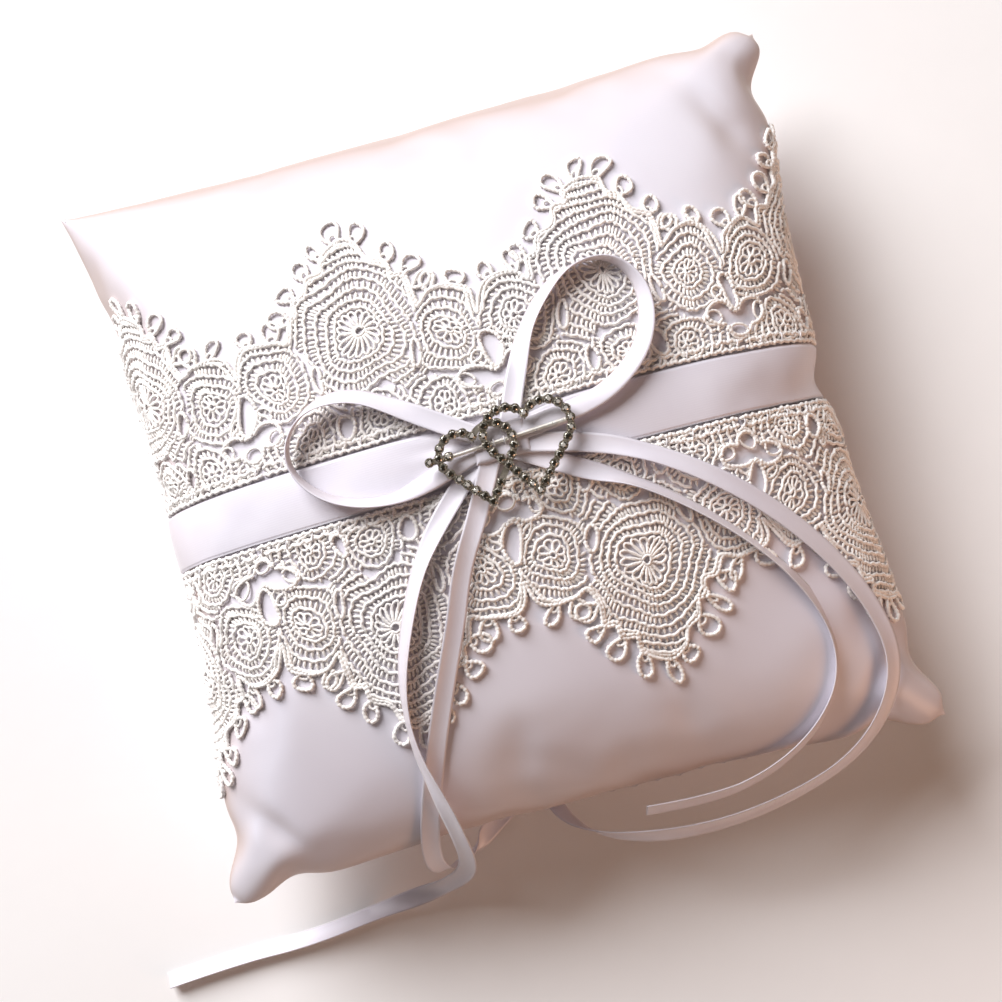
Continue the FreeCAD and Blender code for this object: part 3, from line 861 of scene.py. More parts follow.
class Pillow:
    """The satin cover, its filling and its seam."""

    def __init__(self, size: CushionSize, satin: bpy.types.Material) -> None:
        """Forms both skins: smooth, then settled, then dented.

        Args:
            size: overall form of the pillow.
            satin: the cover's material.
        """
        self.size = size
        self.satin = satin
        self.front = CushionSkin(size, True)
        self.back = CushionSkin(size, False)
        Stuffing().settle(self.front, self.back)
        for dent in FRONT_DENTS:
            self.front.press(dent)
        self.front.refresh()

    def build(self) -> None:
        for skin, name, node in (
            (self.front, "cover_front", "front_cover_panel"),
            (self.back, "cover_back", "back_cover_panel"),
        ):
            faces = grid_faces(skin.STEPS, skin.STEPS)
            if skin.front:
                faces = faces[:, ::-1]
            piece = mesh_object(name, skin.points.reshape(-1, 3), faces, self.satin)
            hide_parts(node)
            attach(piece, "pillow")
            log.info("built %s", name)
        self.build_filling()

    def build_filling(self) -> None:
        """The wadding, just inside the cover."""
        gap = 1.6 * MM
        points, faces = [], []
        for skin in (self.front, self.back):
            thin = skin.points[::6, ::6].copy()
            normals = skin.normals[::6, ::6]
            inner = thin - normals * gap
            rows = inner.shape[0]
            flat = inner.reshape(-1, 3)
            flat[:, :2] *= 0.985
            quads = grid_faces(rows, rows) + sum(len(p) for p in points)
            points.append(flat)
            faces.append(quads[:, ::-1] if skin.front else quads)
        piece = mesh_object(
            "wadding", np.vstack(points), np.vstack(faces), FibreFinish("wadding_fibre").material()
        )
        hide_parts("fibre_filling")
        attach(piece, "pillow")


FRONT_DENTS: tuple[Dent, ...] = (
    Dent((0.0815, -0.0800), (0.013, 0.0035), 48.0, 1.6 * MM),
    Dent((-0.0800, -0.0790), (0.014, 0.0035), 128.0, 1.5 * MM),
    Dent((0.0790, 0.0700), (0.012, 0.0045), -62.0, 1.4 * MM),
    Dent((0.0700, -0.0620), (0.030, 0.0100), 40.0, -1.2 * MM),
    Dent((0.0300, -0.0830), (0.020, 0.0050), 100.0, 0.7 * MM),
    Dent((-0.0150, -0.0840), (0.015, 0.0045), 82.0, 0.6 * MM),
)
NIPS: tuple[Nip, ...] = (
    Nip((0.0885, -0.0020), 0.0070, 180.0, 2.4 * MM),
    Nip((0.0960, 0.0800), 0.0080, 190.0, 3.0 * MM),
    Nip((0.0992, 0.0978), 0.0060, 225.0, 4.2 * MM),
    Nip((0.0800, 0.0975), 0.0070, 265.0, 1.0 * MM),
    Nip((0.0945, -0.0790), 0.0070, 170.0, 2.0 * MM),
    Nip((0.0975, -0.0972), 0.0050, 135.0, 2.8 * MM),
    Nip((0.0790, -0.0955), 0.0070, 95.0, 1.8 * MM),
    Nip((-0.0945, -0.0790), 0.0070, 10.0, 2.0 * MM),
    Nip((-0.0800, -0.0945), 0.0070, 85.0, 1.4 * MM),
    Nip((-0.0985, -0.0958), 0.0045, 45.0, 1.6 * MM),
)


# ------------------------------------------------------------------ thread work
@dataclass(frozen=True)
class Thread:
    """A round thread that other shapes are worked in.

    Attributes:
        radius: half its thickness.
        bead: length of one bead or twist along it, or zero for a plain thread.
        relief: how much thinner it is between beads, as a share of its radius.
        sides: corners of its section.
        step: distance between its rings.
    """

    radius: float
    bead: float = 0.0
    relief: float = 0.3
    sides: int = 6
    step: float = 0.35 * MM
    PINCH: ClassVar[float] = 0.01

    def run(self, points: np.ndarray, normals: np.ndarray, pieces: Pieces) -> None:
        """Adds one thread along points, with the normals of what it lies on."""
        if len(points) > 1:
            self.run_many(points[None], normals[None], pieces)

    def run_many(self, points: np.ndarray, normals: np.ndarray, pieces: Pieces) -> None:
        """Adds many threads that have equally many points.

        Args:
            points: their middle lines, by thread and by place along it, in metres.
            normals: normals of what they lie on, the same way.
            pieces: where the finished shapes go.
        """
        threads, count = points.shape[:2]
        tangent = unit(np.gradient(points, axis=1))
        side = unit(np.cross(tangent, normals))
        upright = np.cross(side, tangent)
        radius = np.full((threads, count), self.radius)
        if self.bead:
            legs = np.linalg.norm(np.diff(points, axis=1), axis=2)
            along = np.concatenate([np.zeros((threads, 1)), np.cumsum(legs, axis=1)], axis=1)
            wave = np.abs(np.sin(math.pi * along / self.bead))
            radius *= 1 - self.relief + self.relief * 1.35 * wave
        radius[:, [0, -1]] *= self.PINCH
        corner = np.arange(self.sides) * 2 * math.pi / self.sides
        ring = (
            side[:, :, None, :] * np.cos(corner)[:, None]
            + upright[:, :, None, :] * np.sin(corner)[:, None]
        )
        skin = points[:, :, None, :] + ring * radius[:, :, None, None]
        one = grid_faces(count, self.sides, closed=True)[:, ::-1]
        offsets = np.arange(threads) * count * self.sides
        faces = (one[None] + offsets[:, None, None]).reshape(-1, 4)
        pieces.add(skin.reshape(-1, 3), faces)


def arc_points(middle: Point2, radius: float, start: float, end: float, step: float) -> np.ndarray:
    """Points of a plan arc, in degrees anticlockwise."""
    count = max(3, int(abs(math.radians(end - start)) * radius / step) + 1)
    angle = np.radians(np.linspace(start, end, count))
    return np.array(middle) + radius * np.stack([np.cos(angle), np.sin(angle)], axis=1)


def picot_points(foot: Point2, heading: float, length: float, width: float) -> np.ndarray:
    """A teardrop loop that stands on its foot."""
    turn = np.linspace(0, 2 * math.pi, 26)
    along = length * (1 - np.cos(turn)) / 2
    across = width / 2 * np.sin(turn) * np.sin(turn / 2) ** 0.9 * 1.18
    direction = np.array([math.cos(math.radians(heading)), math.sin(math.radians(heading))])
    sideways = np.array([-direction[1], direction[0]])
    return np.array(foot) + along[:, None] * direction + across[:, None] * sideways


def inside_polygon(points: np.ndarray, polygon: np.ndarray) -> np.ndarray:
    """Whether each point of the plan lies inside a closed polygon."""
    x, y = points[:, 0], points[:, 1]
    inside = np.zeros(len(points), dtype=bool)
    for (x0, y0), (x1, y1) in zip(polygon, np.roll(polygon, -1, axis=0)):
        crosses = (y0 > y) != (y1 > y)
        if y0 != y1:
            inside ^= crosses & (x < (x1 - x0) * (y - y0) / (y1 - y0) + x0)
    return inside


def rounded(corners: Sequence[Point2], closed: bool, per_leg: int = 8) -> np.ndarray:
    """A smooth line through given points (Catmull-Rom)."""
    points = np.array(corners, dtype=float)
    if closed:
        points = np.vstack([points[-1:], points, points[:2]])
    else:
        points = np.vstack([2 * points[0] - points[1], points, 2 * points[-1] - points[-2]])
    share = np.linspace(0, 1, per_leg, endpoint=False)[:, None]
    legs = []
    for a, b, c, d in zip(points, points[1:], points[2:], points[3:]):
        legs.append(
            0.5
            * (
                2 * b
                + (c - a) * share
                + (2 * a - 5 * b + 4 * c - d) * share**2
                + (3 * b - a - 3 * c + d) * share**3
            )
        )
    if not closed:
        legs.append(points[-2:-1])
    return np.vstack(legs)


@dataclass(frozen=True)
class Rosette:
    """Worked centre of a motif, in millimetres.

    Attributes:
        middle: its place in the repeat.
        eye: radius of its open eye.
        petals: how many loops stand round the eye.
        reach: outer radius of the petals.
        rows: how many rows are worked round it.
        pull: how little room it takes from its neighbours, 1 being even.
    """

    middle: Point2
    eye: float
    petals: int
    reach: float
    rows: int
    pull: float


@dataclass(frozen=True)
class Opening:
    """An oval opening in the ground, in millimetres."""

    middle: Point2
    half_width: float
    half_height: float

    def clear(self, points: np.ndarray) -> np.ndarray:
        """Whether each plan point is outside the opening."""
        offset = (points - np.array(self.middle)) / np.array([self.half_width, self.half_height])
        return (offset**2).sum(axis=1) > 1

    def border(self) -> np.ndarray:
        """Points of its rim."""
        angle = np.linspace(0, 2 * math.pi, 60)
        reach = np.array([self.half_width, self.half_height])
        return np.array(self.middle) + reach * np.stack([np.cos(angle), np.sin(angle)], axis=1)


@dataclass(frozen=True)
class Picot:
    """A teardrop loop on the outline, in millimetres and degrees."""

    foot: Point2
    heading: float
    length: float = 5.6


@dataclass(frozen=True)
class LaceDesign:
    """One repeat of corded guipure lace, in millimetres from its header edge."""

    pitch: float = 63.5
    left: float = -32.6
    row_gap: float = 2.35
    bar_gap: float = 1.18
    outline: tuple[Point2, ...] = (
        (-32.6, 25.0), (-31.4, 30.0), (-27.5, 32.4), (-22.8, 32.6), (-19.4, 30.6), (-17.6, 34.8),
        (-14.6, 35.8), (-13.6, 39.8), (-10.4, 41.0), (-9.4, 45.0), (-6.0, 46.0), (-5.2, 50.0),
        (0.0, 52.4), (5.2, 50.2), (6.2, 46.2), (9.6, 45.0), (10.8, 40.8), (14.0, 39.4),
        (15.0, 35.0), (16.6, 30.8), (19.8, 32.4), (24.8, 33.0), (28.6, 31.0), (30.9, 25.0),
    )
    picots: tuple[Picot, ...] = (
        Picot((-28.6, 31.6), 112, 5.2), Picot((-23.0, 32.2), 78, 5.4),
        Picot((-17.2, 34.6), 138), Picot((-13.2, 39.6), 132), Picot((-9.0, 44.8), 132),
        Picot((-4.4, 49.6), 126), Picot((-0.2, 51.6), 91, 6.2), Picot((4.4, 49.8), 58, 6.4),
        Picot((9.2, 44.8), 42), Picot((13.6, 39.4), 38), Picot((15.4, 34.6), 22, 4.8),
        Picot((20.0, 32.0), 104, 5.2), Picot((25.0, 32.4), 76, 5.4),
    )
    rosettes: tuple[Rosette, ...] = (
        Rosette((-0.6, 27.5), 1.0, 17, 5.6, 10, 0.62),
        Rosette((21.4, 21.4), 0.8, 9, 3.3, 6, 1.0),
        Rosette((-24.0, 21.2), 0.8, 9, 3.3, 6, 1.0),
        Rosette((0.2, 6.6), 0.7, 8, 2.8, 6, 1.25),
        Rosette((-18.4, 5.2), 0.7, 8, 2.8, 5, 1.25),
        Rosette((16.4, 5.0), 0.7, 8, 2.8, 5, 1.25),
    )
    openings: tuple[Opening, ...] = (
        Opening((30.4, 15.8), 2.3, 4.6), Opening((25.6, 9.8), 3.6, 2.9),
        Opening((34.8, 9.8), 3.6, 2.9), Opening((30.2, 7.4), 3.0, 3.4),
        Opening((8.8, 6.2), 1.9, 2.9), Opening((-9.4, 6.2), 1.9, 2.9),
        Opening((11.6, 19.6), 1.3, 3.0), Opening((-12.6, 18.6), 1.3, 3.0),
    )
    curls: tuple[tuple[Point2, float], ...] = (
        ((26.7, 14.3), 1.7), ((34.1, 14.3), 1.7), ((23.4, 8.9), 2.0), ((37.0, 8.9), 2.0),
        ((30.2, 5.4), 2.2),
    )

    def edge(self) -> np.ndarray:
        """The outline as a smooth line of points."""
        return rounded(self.outline, closed=False, per_leg=8)


class MotifMap:
    """Which rosette works each place of a repeat, looked up on a fine grid."""

    CELL = 0.1
    NOBODY = -1

    def __init__(self, design: LaceDesign) -> None:
        """Works out which rosette owns each place of one repeat.

        Args:
            design: the pattern of the lace.
        """
        self.design = design
        across = np.arange(design.left, design.left + design.pitch, self.CELL)
        upward = np.arange(0.0, 58.0, self.CELL)
        x, y = np.meshgrid(across, upward, indexing="ij")
        places = np.stack([x.ravel(), y.ravel()], axis=1)
        reach = []
        for rosette in design.rosettes:
            away = np.abs(places - np.array(rosette.middle))
            away[:, 0] = np.minimum(away[:, 0], design.pitch - away[:, 0])
            reach.append(np.hypot(away[:, 0], away[:, 1]) * rosette.pull)
        owner = np.argmin(np.stack(reach), axis=0)
        right = design.left + design.pitch
        border = np.vstack([[(design.left, 0.8)], design.edge(), [(right, 0.8)]])
        free = inside_polygon(places, border)
        for opening in design.openings:
            for shift in (0.0, -design.pitch):
                free &= opening.clear(places - np.array([shift, 0.0]))
        self.owner = np.where(free, owner, self.NOBODY).reshape(x.shape)

    def look(self, points: np.ndarray) -> np.ndarray:
        """The number of the rosette that works each plan point, or NOBODY."""
        design = self.design
        i = np.mod(points[..., 0] - design.left, design.pitch) / self.CELL
        j = points[..., 1] / self.CELL
        rows, columns = self.owner.shape
        inside = (j >= 0) & (j < columns)
        i = np.clip(i.astype(int), 0, rows - 1)
        j = np.clip(j.astype(int), 0, columns - 1)
        return np.where(inside, self.owner[i, j], self.NOBODY)


class LaceTrim:
    """One trim of corded lace laid over the crown, caught in the side seams."""

    def __init__(
        self,
        name: str,
        node: str,
        skin: CushionSkin,
        phase: float,
        turned: bool,
        design: LaceDesign = LaceDesign(),
    ) -> None:
        """Sets out one trim.

        Args:
            name: the piece's name.
            node: the CAD node it stands for.
            skin: the cover it lies on.
            phase: where its first tip is, from the middle.
            turned: whether its tips point to the foot.
            design: the pattern of the lace.
        """
        self.name = name
        self.node = node
        self.skin = skin
        self.phase = phase
        self.turned = turned
        self.design = design
        self.map = MotifMap(design)
        self.row_cord = Thread(0.5 * MM, bead=1.18 * MM, relief=0.36, sides=5, step=0.4 * MM)
        self.bar = Thread(0.42 * MM, bead=1.2 * MM, relief=0.2, sides=5)
        self.cord = Thread(0.56 * MM, bead=1.15 * MM, relief=0.42)
        self.fine = Thread(0.4 * MM, bead=1.0 * MM, relief=0.3, sides=5)
        self.ground = Pieces()
        self.edging = Pieces()
        self.start = BAND_HALF + 0.2 * MM
        self.depth_scale = 1.045

    def over_cover(self, plan: np.ndarray) -> tuple[np.ndarray, np.ndarray]:
        """Distances over the cover for plan points in millimetres."""
        x, y = plan[..., 0], plan[..., 1]
        free = np.clip(y / 8, 0, 1)
        x = x + free * (0.8 * np.sin(y * 0.31 + x * 0.12) + 0.45 * np.sin(x * 0.53 - y * 0.24 + 1.0))
        y = y + free * (0.7 * np.sin(x * 0.37 + 0.6) + 0.4 * np.sin(y * 0.47 + x * 0.21))
        s = x * MM + self.phase
        t = self.start + y * MM * self.depth_scale
        return (-s, -t) if self.turned else (s, t)

    def lay(self, plan: np.ndarray, lift: float, thread: Thread, pieces: Pieces) -> None:
        """Works one thread along plan points of the trim, in millimetres."""
        line = resample(plan, thread.step / MM)
        if len(line) < 3:
            return
        s, t = self.over_cover(line)
        keep = np.abs(s) < self.skin.arc_x[-1] - 0.4 * MM
        wobble = 0.16 * MM * np.sin(line[:, 0] * 0.9 + line[:, 1] * 1.3)
        for run in np.split(np.arange(len(s)), np.nonzero(np.diff(keep.astype(int)))[0] + 1):
            if len(run) > 2 and keep[run[0]]:
                points, normals = self.skin.lay(s[run], t[run], lift * MM + wobble[run])
                thread.run(points, normals, pieces)

    def lay_bars(self, plan: np.ndarray, lift: float) -> None:
        """Works many short bars at once.

        Args:
            plan: plan points by bar and by place along it, in millimetres.
            lift: height over the cover, in millimetres.
        """
        s, t = self.over_cover(plan)
        keep = (np.abs(s) < self.skin.arc_x[-1] - 0.4 * MM).all(axis=1)
        s, t = s[keep], t[keep]
        if not len(s):
            return
        points, normals = self.skin.lay(s.ravel(), t.ravel(), lift * MM)
        self.bar.run_many(points.reshape(*s.shape, 3), normals.reshape(*s.shape, 3), self.ground)

    def work_rows(self, origin: float, number: int, rosette: Rosette) -> None:
        """Looped rows round a rosette and the close bars between them."""
        design = self.design
        middle = np.array(rosette.middle)
        shift = np.array([origin, 0.0])
        for ring in range(rosette.rows):
            radius = rosette.reach + 0.7 + design.row_gap * ring
            lobes = max(8, round(2 * math.pi * radius / 2.5))
            angle = np.linspace(0, 2 * math.pi, max(60, int(radius * 18)))
            scallop = radius + 0.42 * np.abs(np.sin(angle * lobes / 2 + ring))
            plan = np.stack([np.cos(angle), np.sin(angle)], axis=1) * scallop[:, None] + middle
            good = self.map.look(plan) == number
            for run in np.split(np.arange(len(plan)), np.nonzero(np.diff(good.astype(int)))[0] + 1):
                if len(run) > 3 and good[run[0]]:
                    self.lay(plan[run] + shift, 0.72, self.row_cord, self.ground)
            count = round(2 * math.pi * (radius + 1.1) / design.bar_gap)
            turn = 2 * math.pi * (np.arange(count) + 0.5 * (ring % 2)) / count
            reach = np.linspace(radius + 0.2, radius + design.row_gap - 0.1, 4)
            lean = turn[:, None] + 0.16 / radius * np.linspace(-1, 1, 4)
            bars = np.stack([np.cos(lean) * reach, np.sin(lean) * reach], axis=2) + middle
            whole = (self.map.look(bars) == number).all(axis=1)
            self.lay_bars(bars[whole] + shift, 0.45)

    def work_rosette(self, origin: float, rosette: Rosette) -> None:
        """The eye and the petals that stand round it."""
        middle = np.array(rosette.middle) + np.array([origin, 0.0])
        eye = arc_points(tuple(middle), rosette.eye, 0, 360, 0.3)
        self.lay(eye, 0.95, self.fine, self.edging)
        width = 2 * math.pi * rosette.reach / rosette.petals * 0.8
        for k in range(rosette.petals):
            heading = 360 * k / rosette.petals
            direction = np.array([math.cos(math.radians(heading)), math.sin(math.radians(heading))])
            foot = middle + direction * rosette.eye
            petal = picot_points(foot, heading, rosette.reach - rosette.eye, width)
            self.lay(petal, 0.7, self.fine, self.edging)

    def work_edges(self, origin: float) -> None:
        """Outline cords, picots, rims of the openings, curls and the header."""
        design = self.design
        shift = np.array([origin, 0.0])
        edge = design.edge()
        inward = np.array([0.0, 24.0])
        self.lay(edge + shift, 0.8, self.cord, self.edging)
        self.lay(edge * 0.962 + inward * 0.038 + shift, 0.7, self.cord, self.edging)
        for picot in design.picots:
            foot = np.array(picot.foot) + shift
            loop = picot_points(foot, picot.heading, picot.length, 4.3)
            self.lay(loop, 0.7, self.cord, self.edging)
            inner = picot_points(foot, picot.heading, picot.length * 0.42, 1.9)
            self.lay(inner, 0.6, self.fine, self.edging)
        for opening in design.openings:
            rim = opening.border()
            clear = np.ones(len(rim), dtype=bool)
            for other in design.openings:
                if other is not opening:
                    clear &= other.clear(rim)
            for run in np.split(np.arange(60), np.nonzero(np.diff(clear.astype(int)))[0] + 1):
                if len(run) > 3 and clear[run[0]]:
                    self.lay(rim[run] + shift, 0.85, self.cord, self.edging)
        for middle, radius in design.curls:
            curl = arc_points((middle[0] + origin, middle[1]), radius, 0, 360, 0.3)
            self.lay(curl, 0.85, self.fine, self.edging)
        run = np.arange(design.left, design.left + design.pitch + 0.1, 0.3)
        for level, swing, beat in ((0.5, 0.5, 2.4), (2.3, 0.6, 2.9)):
            line = np.stack([run, level + swing * np.abs(np.sin(math.pi * run / beat))], axis=1)
            self.lay(line + shift, 0.75, self.cord, self.edging)

    def build(self, material: bpy.types.Material) -> None:
        reach = self.skin.arc_x[-1] / MM
        pitch = self.design.pitch
        phase = self.phase / MM
        first = math.floor((-reach - phase - pitch / 2) / pitch)
        last = math.ceil((reach - phase + pitch / 2) / pitch)
        for repeat in range(first, last + 1):
            origin = repeat * pitch
            for number, rosette in enumerate(self.design.rosettes):
                self.work_rosette(origin, rosette)
                self.work_rows(origin, number, rosette)
            self.work_edges(origin)
        ground = self.ground.make(self.name, material)
        edging = self.edging.make(self.name + "_edging", material)
        for piece in (ground, edging):
            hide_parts(self.node)
            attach(piece, "pillow")
        log.info("worked %s, %s points", self.name, (self.ground.count, self.edging.count))


BAND_HALF = 7.5 * MM


class Band:
    """The wide satin ribbon over the middle, drawn together under the bow."""

    def __init__(self, skin: CushionSkin, low: float, high: float) -> None:
        """Takes the skin and the band's lowest and highest places along Y."""
        self.skin = skin
        self.half = (high - low) / 2

    def build(self, material: bpy.types.Material) -> bpy.types.Object:
        rows, columns = 420, 33
        reach = self.skin.arc_x[-1]
        s = np.linspace(-reach + 0.2 * MM, reach - 0.2 * MM, rows)
        share = np.linspace(-1, 1, columns)
        gather = np.exp(-((s / (13 * MM)) ** 2))
        half = self.half * (1 - 0.38 * gather)
        grid_s = np.repeat(s, columns)
        grid_share = np.tile(share, rows)
        grid_half = np.repeat(half, columns)
        t = grid_share * grid_half
        pleat = np.repeat(np.exp(-((np.abs(s) - 4 * MM) / (11 * MM)) ** 2), columns)
        folds = 0.9 * MM * pleat * (0.5 + 0.5 * np.cos(grid_share * 3.2 * math.pi + s.repeat(columns) * 60))
        belly = 0.35 * MM * (1 - grid_share**2)
        lift = 0.95 * MM + folds + belly - 0.5 * MM * (np.abs(grid_share) > 0.96)
        layers = []
        for thickness in (0.3 * MM, 0.0):
            points, _ = self.skin.lay(grid_s, t, lift + thickness)
            layers.append(points)
        faces = grid_faces(rows, columns)
        count = rows * columns
        pieces = Pieces()
        ring = np.concatenate(
            [
                np.arange(columns),
                np.arange(1, rows) * columns + columns - 1,
                (rows - 1) * columns + np.arange(columns - 2, -1, -1),
                np.arange(rows - 2, 0, -1) * columns,
            ]
        )
        nxt = np.roll(ring, -1)
        rim = np.stack([ring, ring + count, nxt + count, nxt], axis=1)
        pieces.add(np.vstack(layers), np.vstack([faces[:, ::-1], faces + count, rim]))
        piece = pieces.make("centre_ribbon", material)
        mark_across(piece, np.tile(grid_share, 2))
        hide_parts("centre_band")
        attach(piece, "pillow")
        log.info("built band")
        return piece


# ------------------------------------------------------------------ narrow ribbon
@dataclass(frozen=True)
class Stretch:
    """One open stretch of narrow ribbon.

    Attributes:
        node: the CAD node it stands for.
        length: its real length; not used.
        far_end: how it ends; not used.
        route: control points of its line.
        turns: pairs of a share of the length and the tilt of its face there, in degrees.
    """

    node: str
    length: float
    far_end: str
    route: tuple[Point3, ...]
    turns: tuple[Point2, ...]


STRETCHES = (
    Stretch(
        "bow_loop_left",
        0.1123,
        "object",
        (
            (-0.0055, 0.003, 0.0711), (-0.021, 0.0138, 0.0706), (-0.034, 0.0218, 0.07),
            (-0.047, 0.0199, 0.0685), (-0.053, 0.0089, 0.0675), (-0.046, -0.0021, 0.068),
            (-0.032, -0.0072, 0.0696), (-0.019, -0.0052, 0.0702), (-0.0055, -0.0005, 0.0705),
        ),
        (
            (0, -5), (0.14, -10), (0.22, -37), (0.33, -39), (0.42, -62), (0.5, -74), (0.6, -98),
            (0.7, -114), (0.78, -122), (0.87, -168), (1, -174),
        ),
    ),
    Stretch(
        "bow_loop_right",
        0.1199,
        "object",
        (
            (0.003, 0.003, 0.0699), (0.009, 0.0178, 0.0696), (0.016, 0.0299, 0.0685),
            (0.027, 0.039, 0.0668), (0.039, 0.039, 0.0658), (0.045, 0.029, 0.0663),
            (0.042, 0.0159, 0.068), (0.032, 0.0068, 0.0698), (0.02, 0.0028, 0.0709),
            (0.0055, 0.0015, 0.0711),
        ),
        (
            (0, 5), (0.12, 10), (0.2, 46), (0.3, 48), (0.38, 66), (0.45, 72), (0.5, 84),
            (0.6, 124), (0.7, 142), (0.8, 156), (0.87, 169), (1, 174),
        ),
    ),
    Stretch(
        "bow_tail_left",
        0.227,
        "bare",
        (
            (-0.0055, -0.002, 0.0693), (-0.017, -0.0122, 0.0694), (-0.027, -0.0241, 0.0688),
            (-0.034, -0.038, 0.0662), (-0.039, -0.0518, 0.0626), (-0.04, -0.0666, 0.059),
            (-0.037, -0.0812, 0.0544), (-0.035, -0.0932, 0.045), (-0.035, -0.1006, 0.0325),
            (-0.039, -0.1045, 0.019), (-0.048, -0.107, 0.0075), (-0.063, -0.109, 0.0012),
            (-0.084, -0.1115, 0.0008), (-0.104, -0.111, 0.0008), (-0.124, -0.1125, 0.0008),
        ),
        (
            (0, -5), (0.08, -10), (0.13, -40), (0.2, -46), (0.31, -60), (0.36, -46), (0.42, -22), (0.5, -20),
            (0.6, -24), (0.75, -40), (1, -40),
        ),
    ),
    Stretch(
        "ring_tie_tail_left",
        0.1674,
        "bare",
        (
            (-0.003, -0.0028, 0.0699), (-0.01, -0.0162, 0.0701), (-0.017, -0.0272, 0.0694),
            (-0.022, -0.04, 0.067), (-0.028, -0.0528, 0.0632), (-0.034, -0.0665, 0.0576),
            (-0.039, -0.0791, 0.0506), (-0.043, -0.0906, 0.0415), (-0.044, -0.0986, 0.031),
            (-0.041, -0.102, 0.019), (-0.034, -0.099, 0.0085), (-0.024, -0.092, 0.0022),
            (-0.013, -0.086, 0.001),
        ),
        ((0, 5), (0.1, 10), (0.16, 22), (0.5, 14), (0.7, 20), (1, 0)),
    ),
    Stretch(
        "ring_tie_tail_right",
        0.1751,
        "bare",
        (
            (0.0035, -0.0028, 0.0698), (0.016, -0.0107, 0.0694), (0.029, -0.0171, 0.0689),
            (0.042, -0.027, 0.0666), (0.054, -0.0388, 0.0624), (0.064, -0.0515, 0.0568),
            (0.07, -0.0652, 0.0512), (0.069, -0.078, 0.0474), (0.061, -0.0887, 0.0426),
            (0.048, -0.0969, 0.0364), (0.031, -0.1006, 0.0326), (0.013, -0.0987, 0.0335),
        ),
        (
            (0, 5), (0.1, 10), (0.16, 54), (0.2, 58), (0.35, 62), (0.4, 58), (0.5, 42), (0.6, 22),
            (0.7, 14), (0.8, 3), (0.9, -2), (1, 0),
        ),
    ),
    Stretch(
        "bow_tail_right",
        0.2566,
        "bare",
        (
            (0.0055, -0.0015, 0.07045), (0.021, -0.0052, 0.0702), (0.035, -0.0117, 0.0694),
            (0.049, -0.021, 0.0666), (0.062, -0.0327, 0.0616), (0.073, -0.0464, 0.0558),
            (0.081, -0.061, 0.05), (0.0845, -0.0757, 0.0452), (0.08, -0.0885, 0.041),
            (0.069, -0.099, 0.0354), (0.053, -0.105, 0.0296), (0.034, -0.108, 0.027),
            (0.015, -0.107, 0.0254), (-0.001, -0.1025, 0.0215), (-0.009, -0.095, 0.013),
            (-0.01, -0.086, 0.0055), (-0.004, -0.078, 0.002),
        ),
        (
            (0, 5), (0.08, 10), (0.12, 26), (0.2, 14), (0.35, 10), (0.5, -12), (0.6, -12), (0.7, -18),
            (0.8, -24), (0.9, 4), (1, 20),
        ),
    ),
)


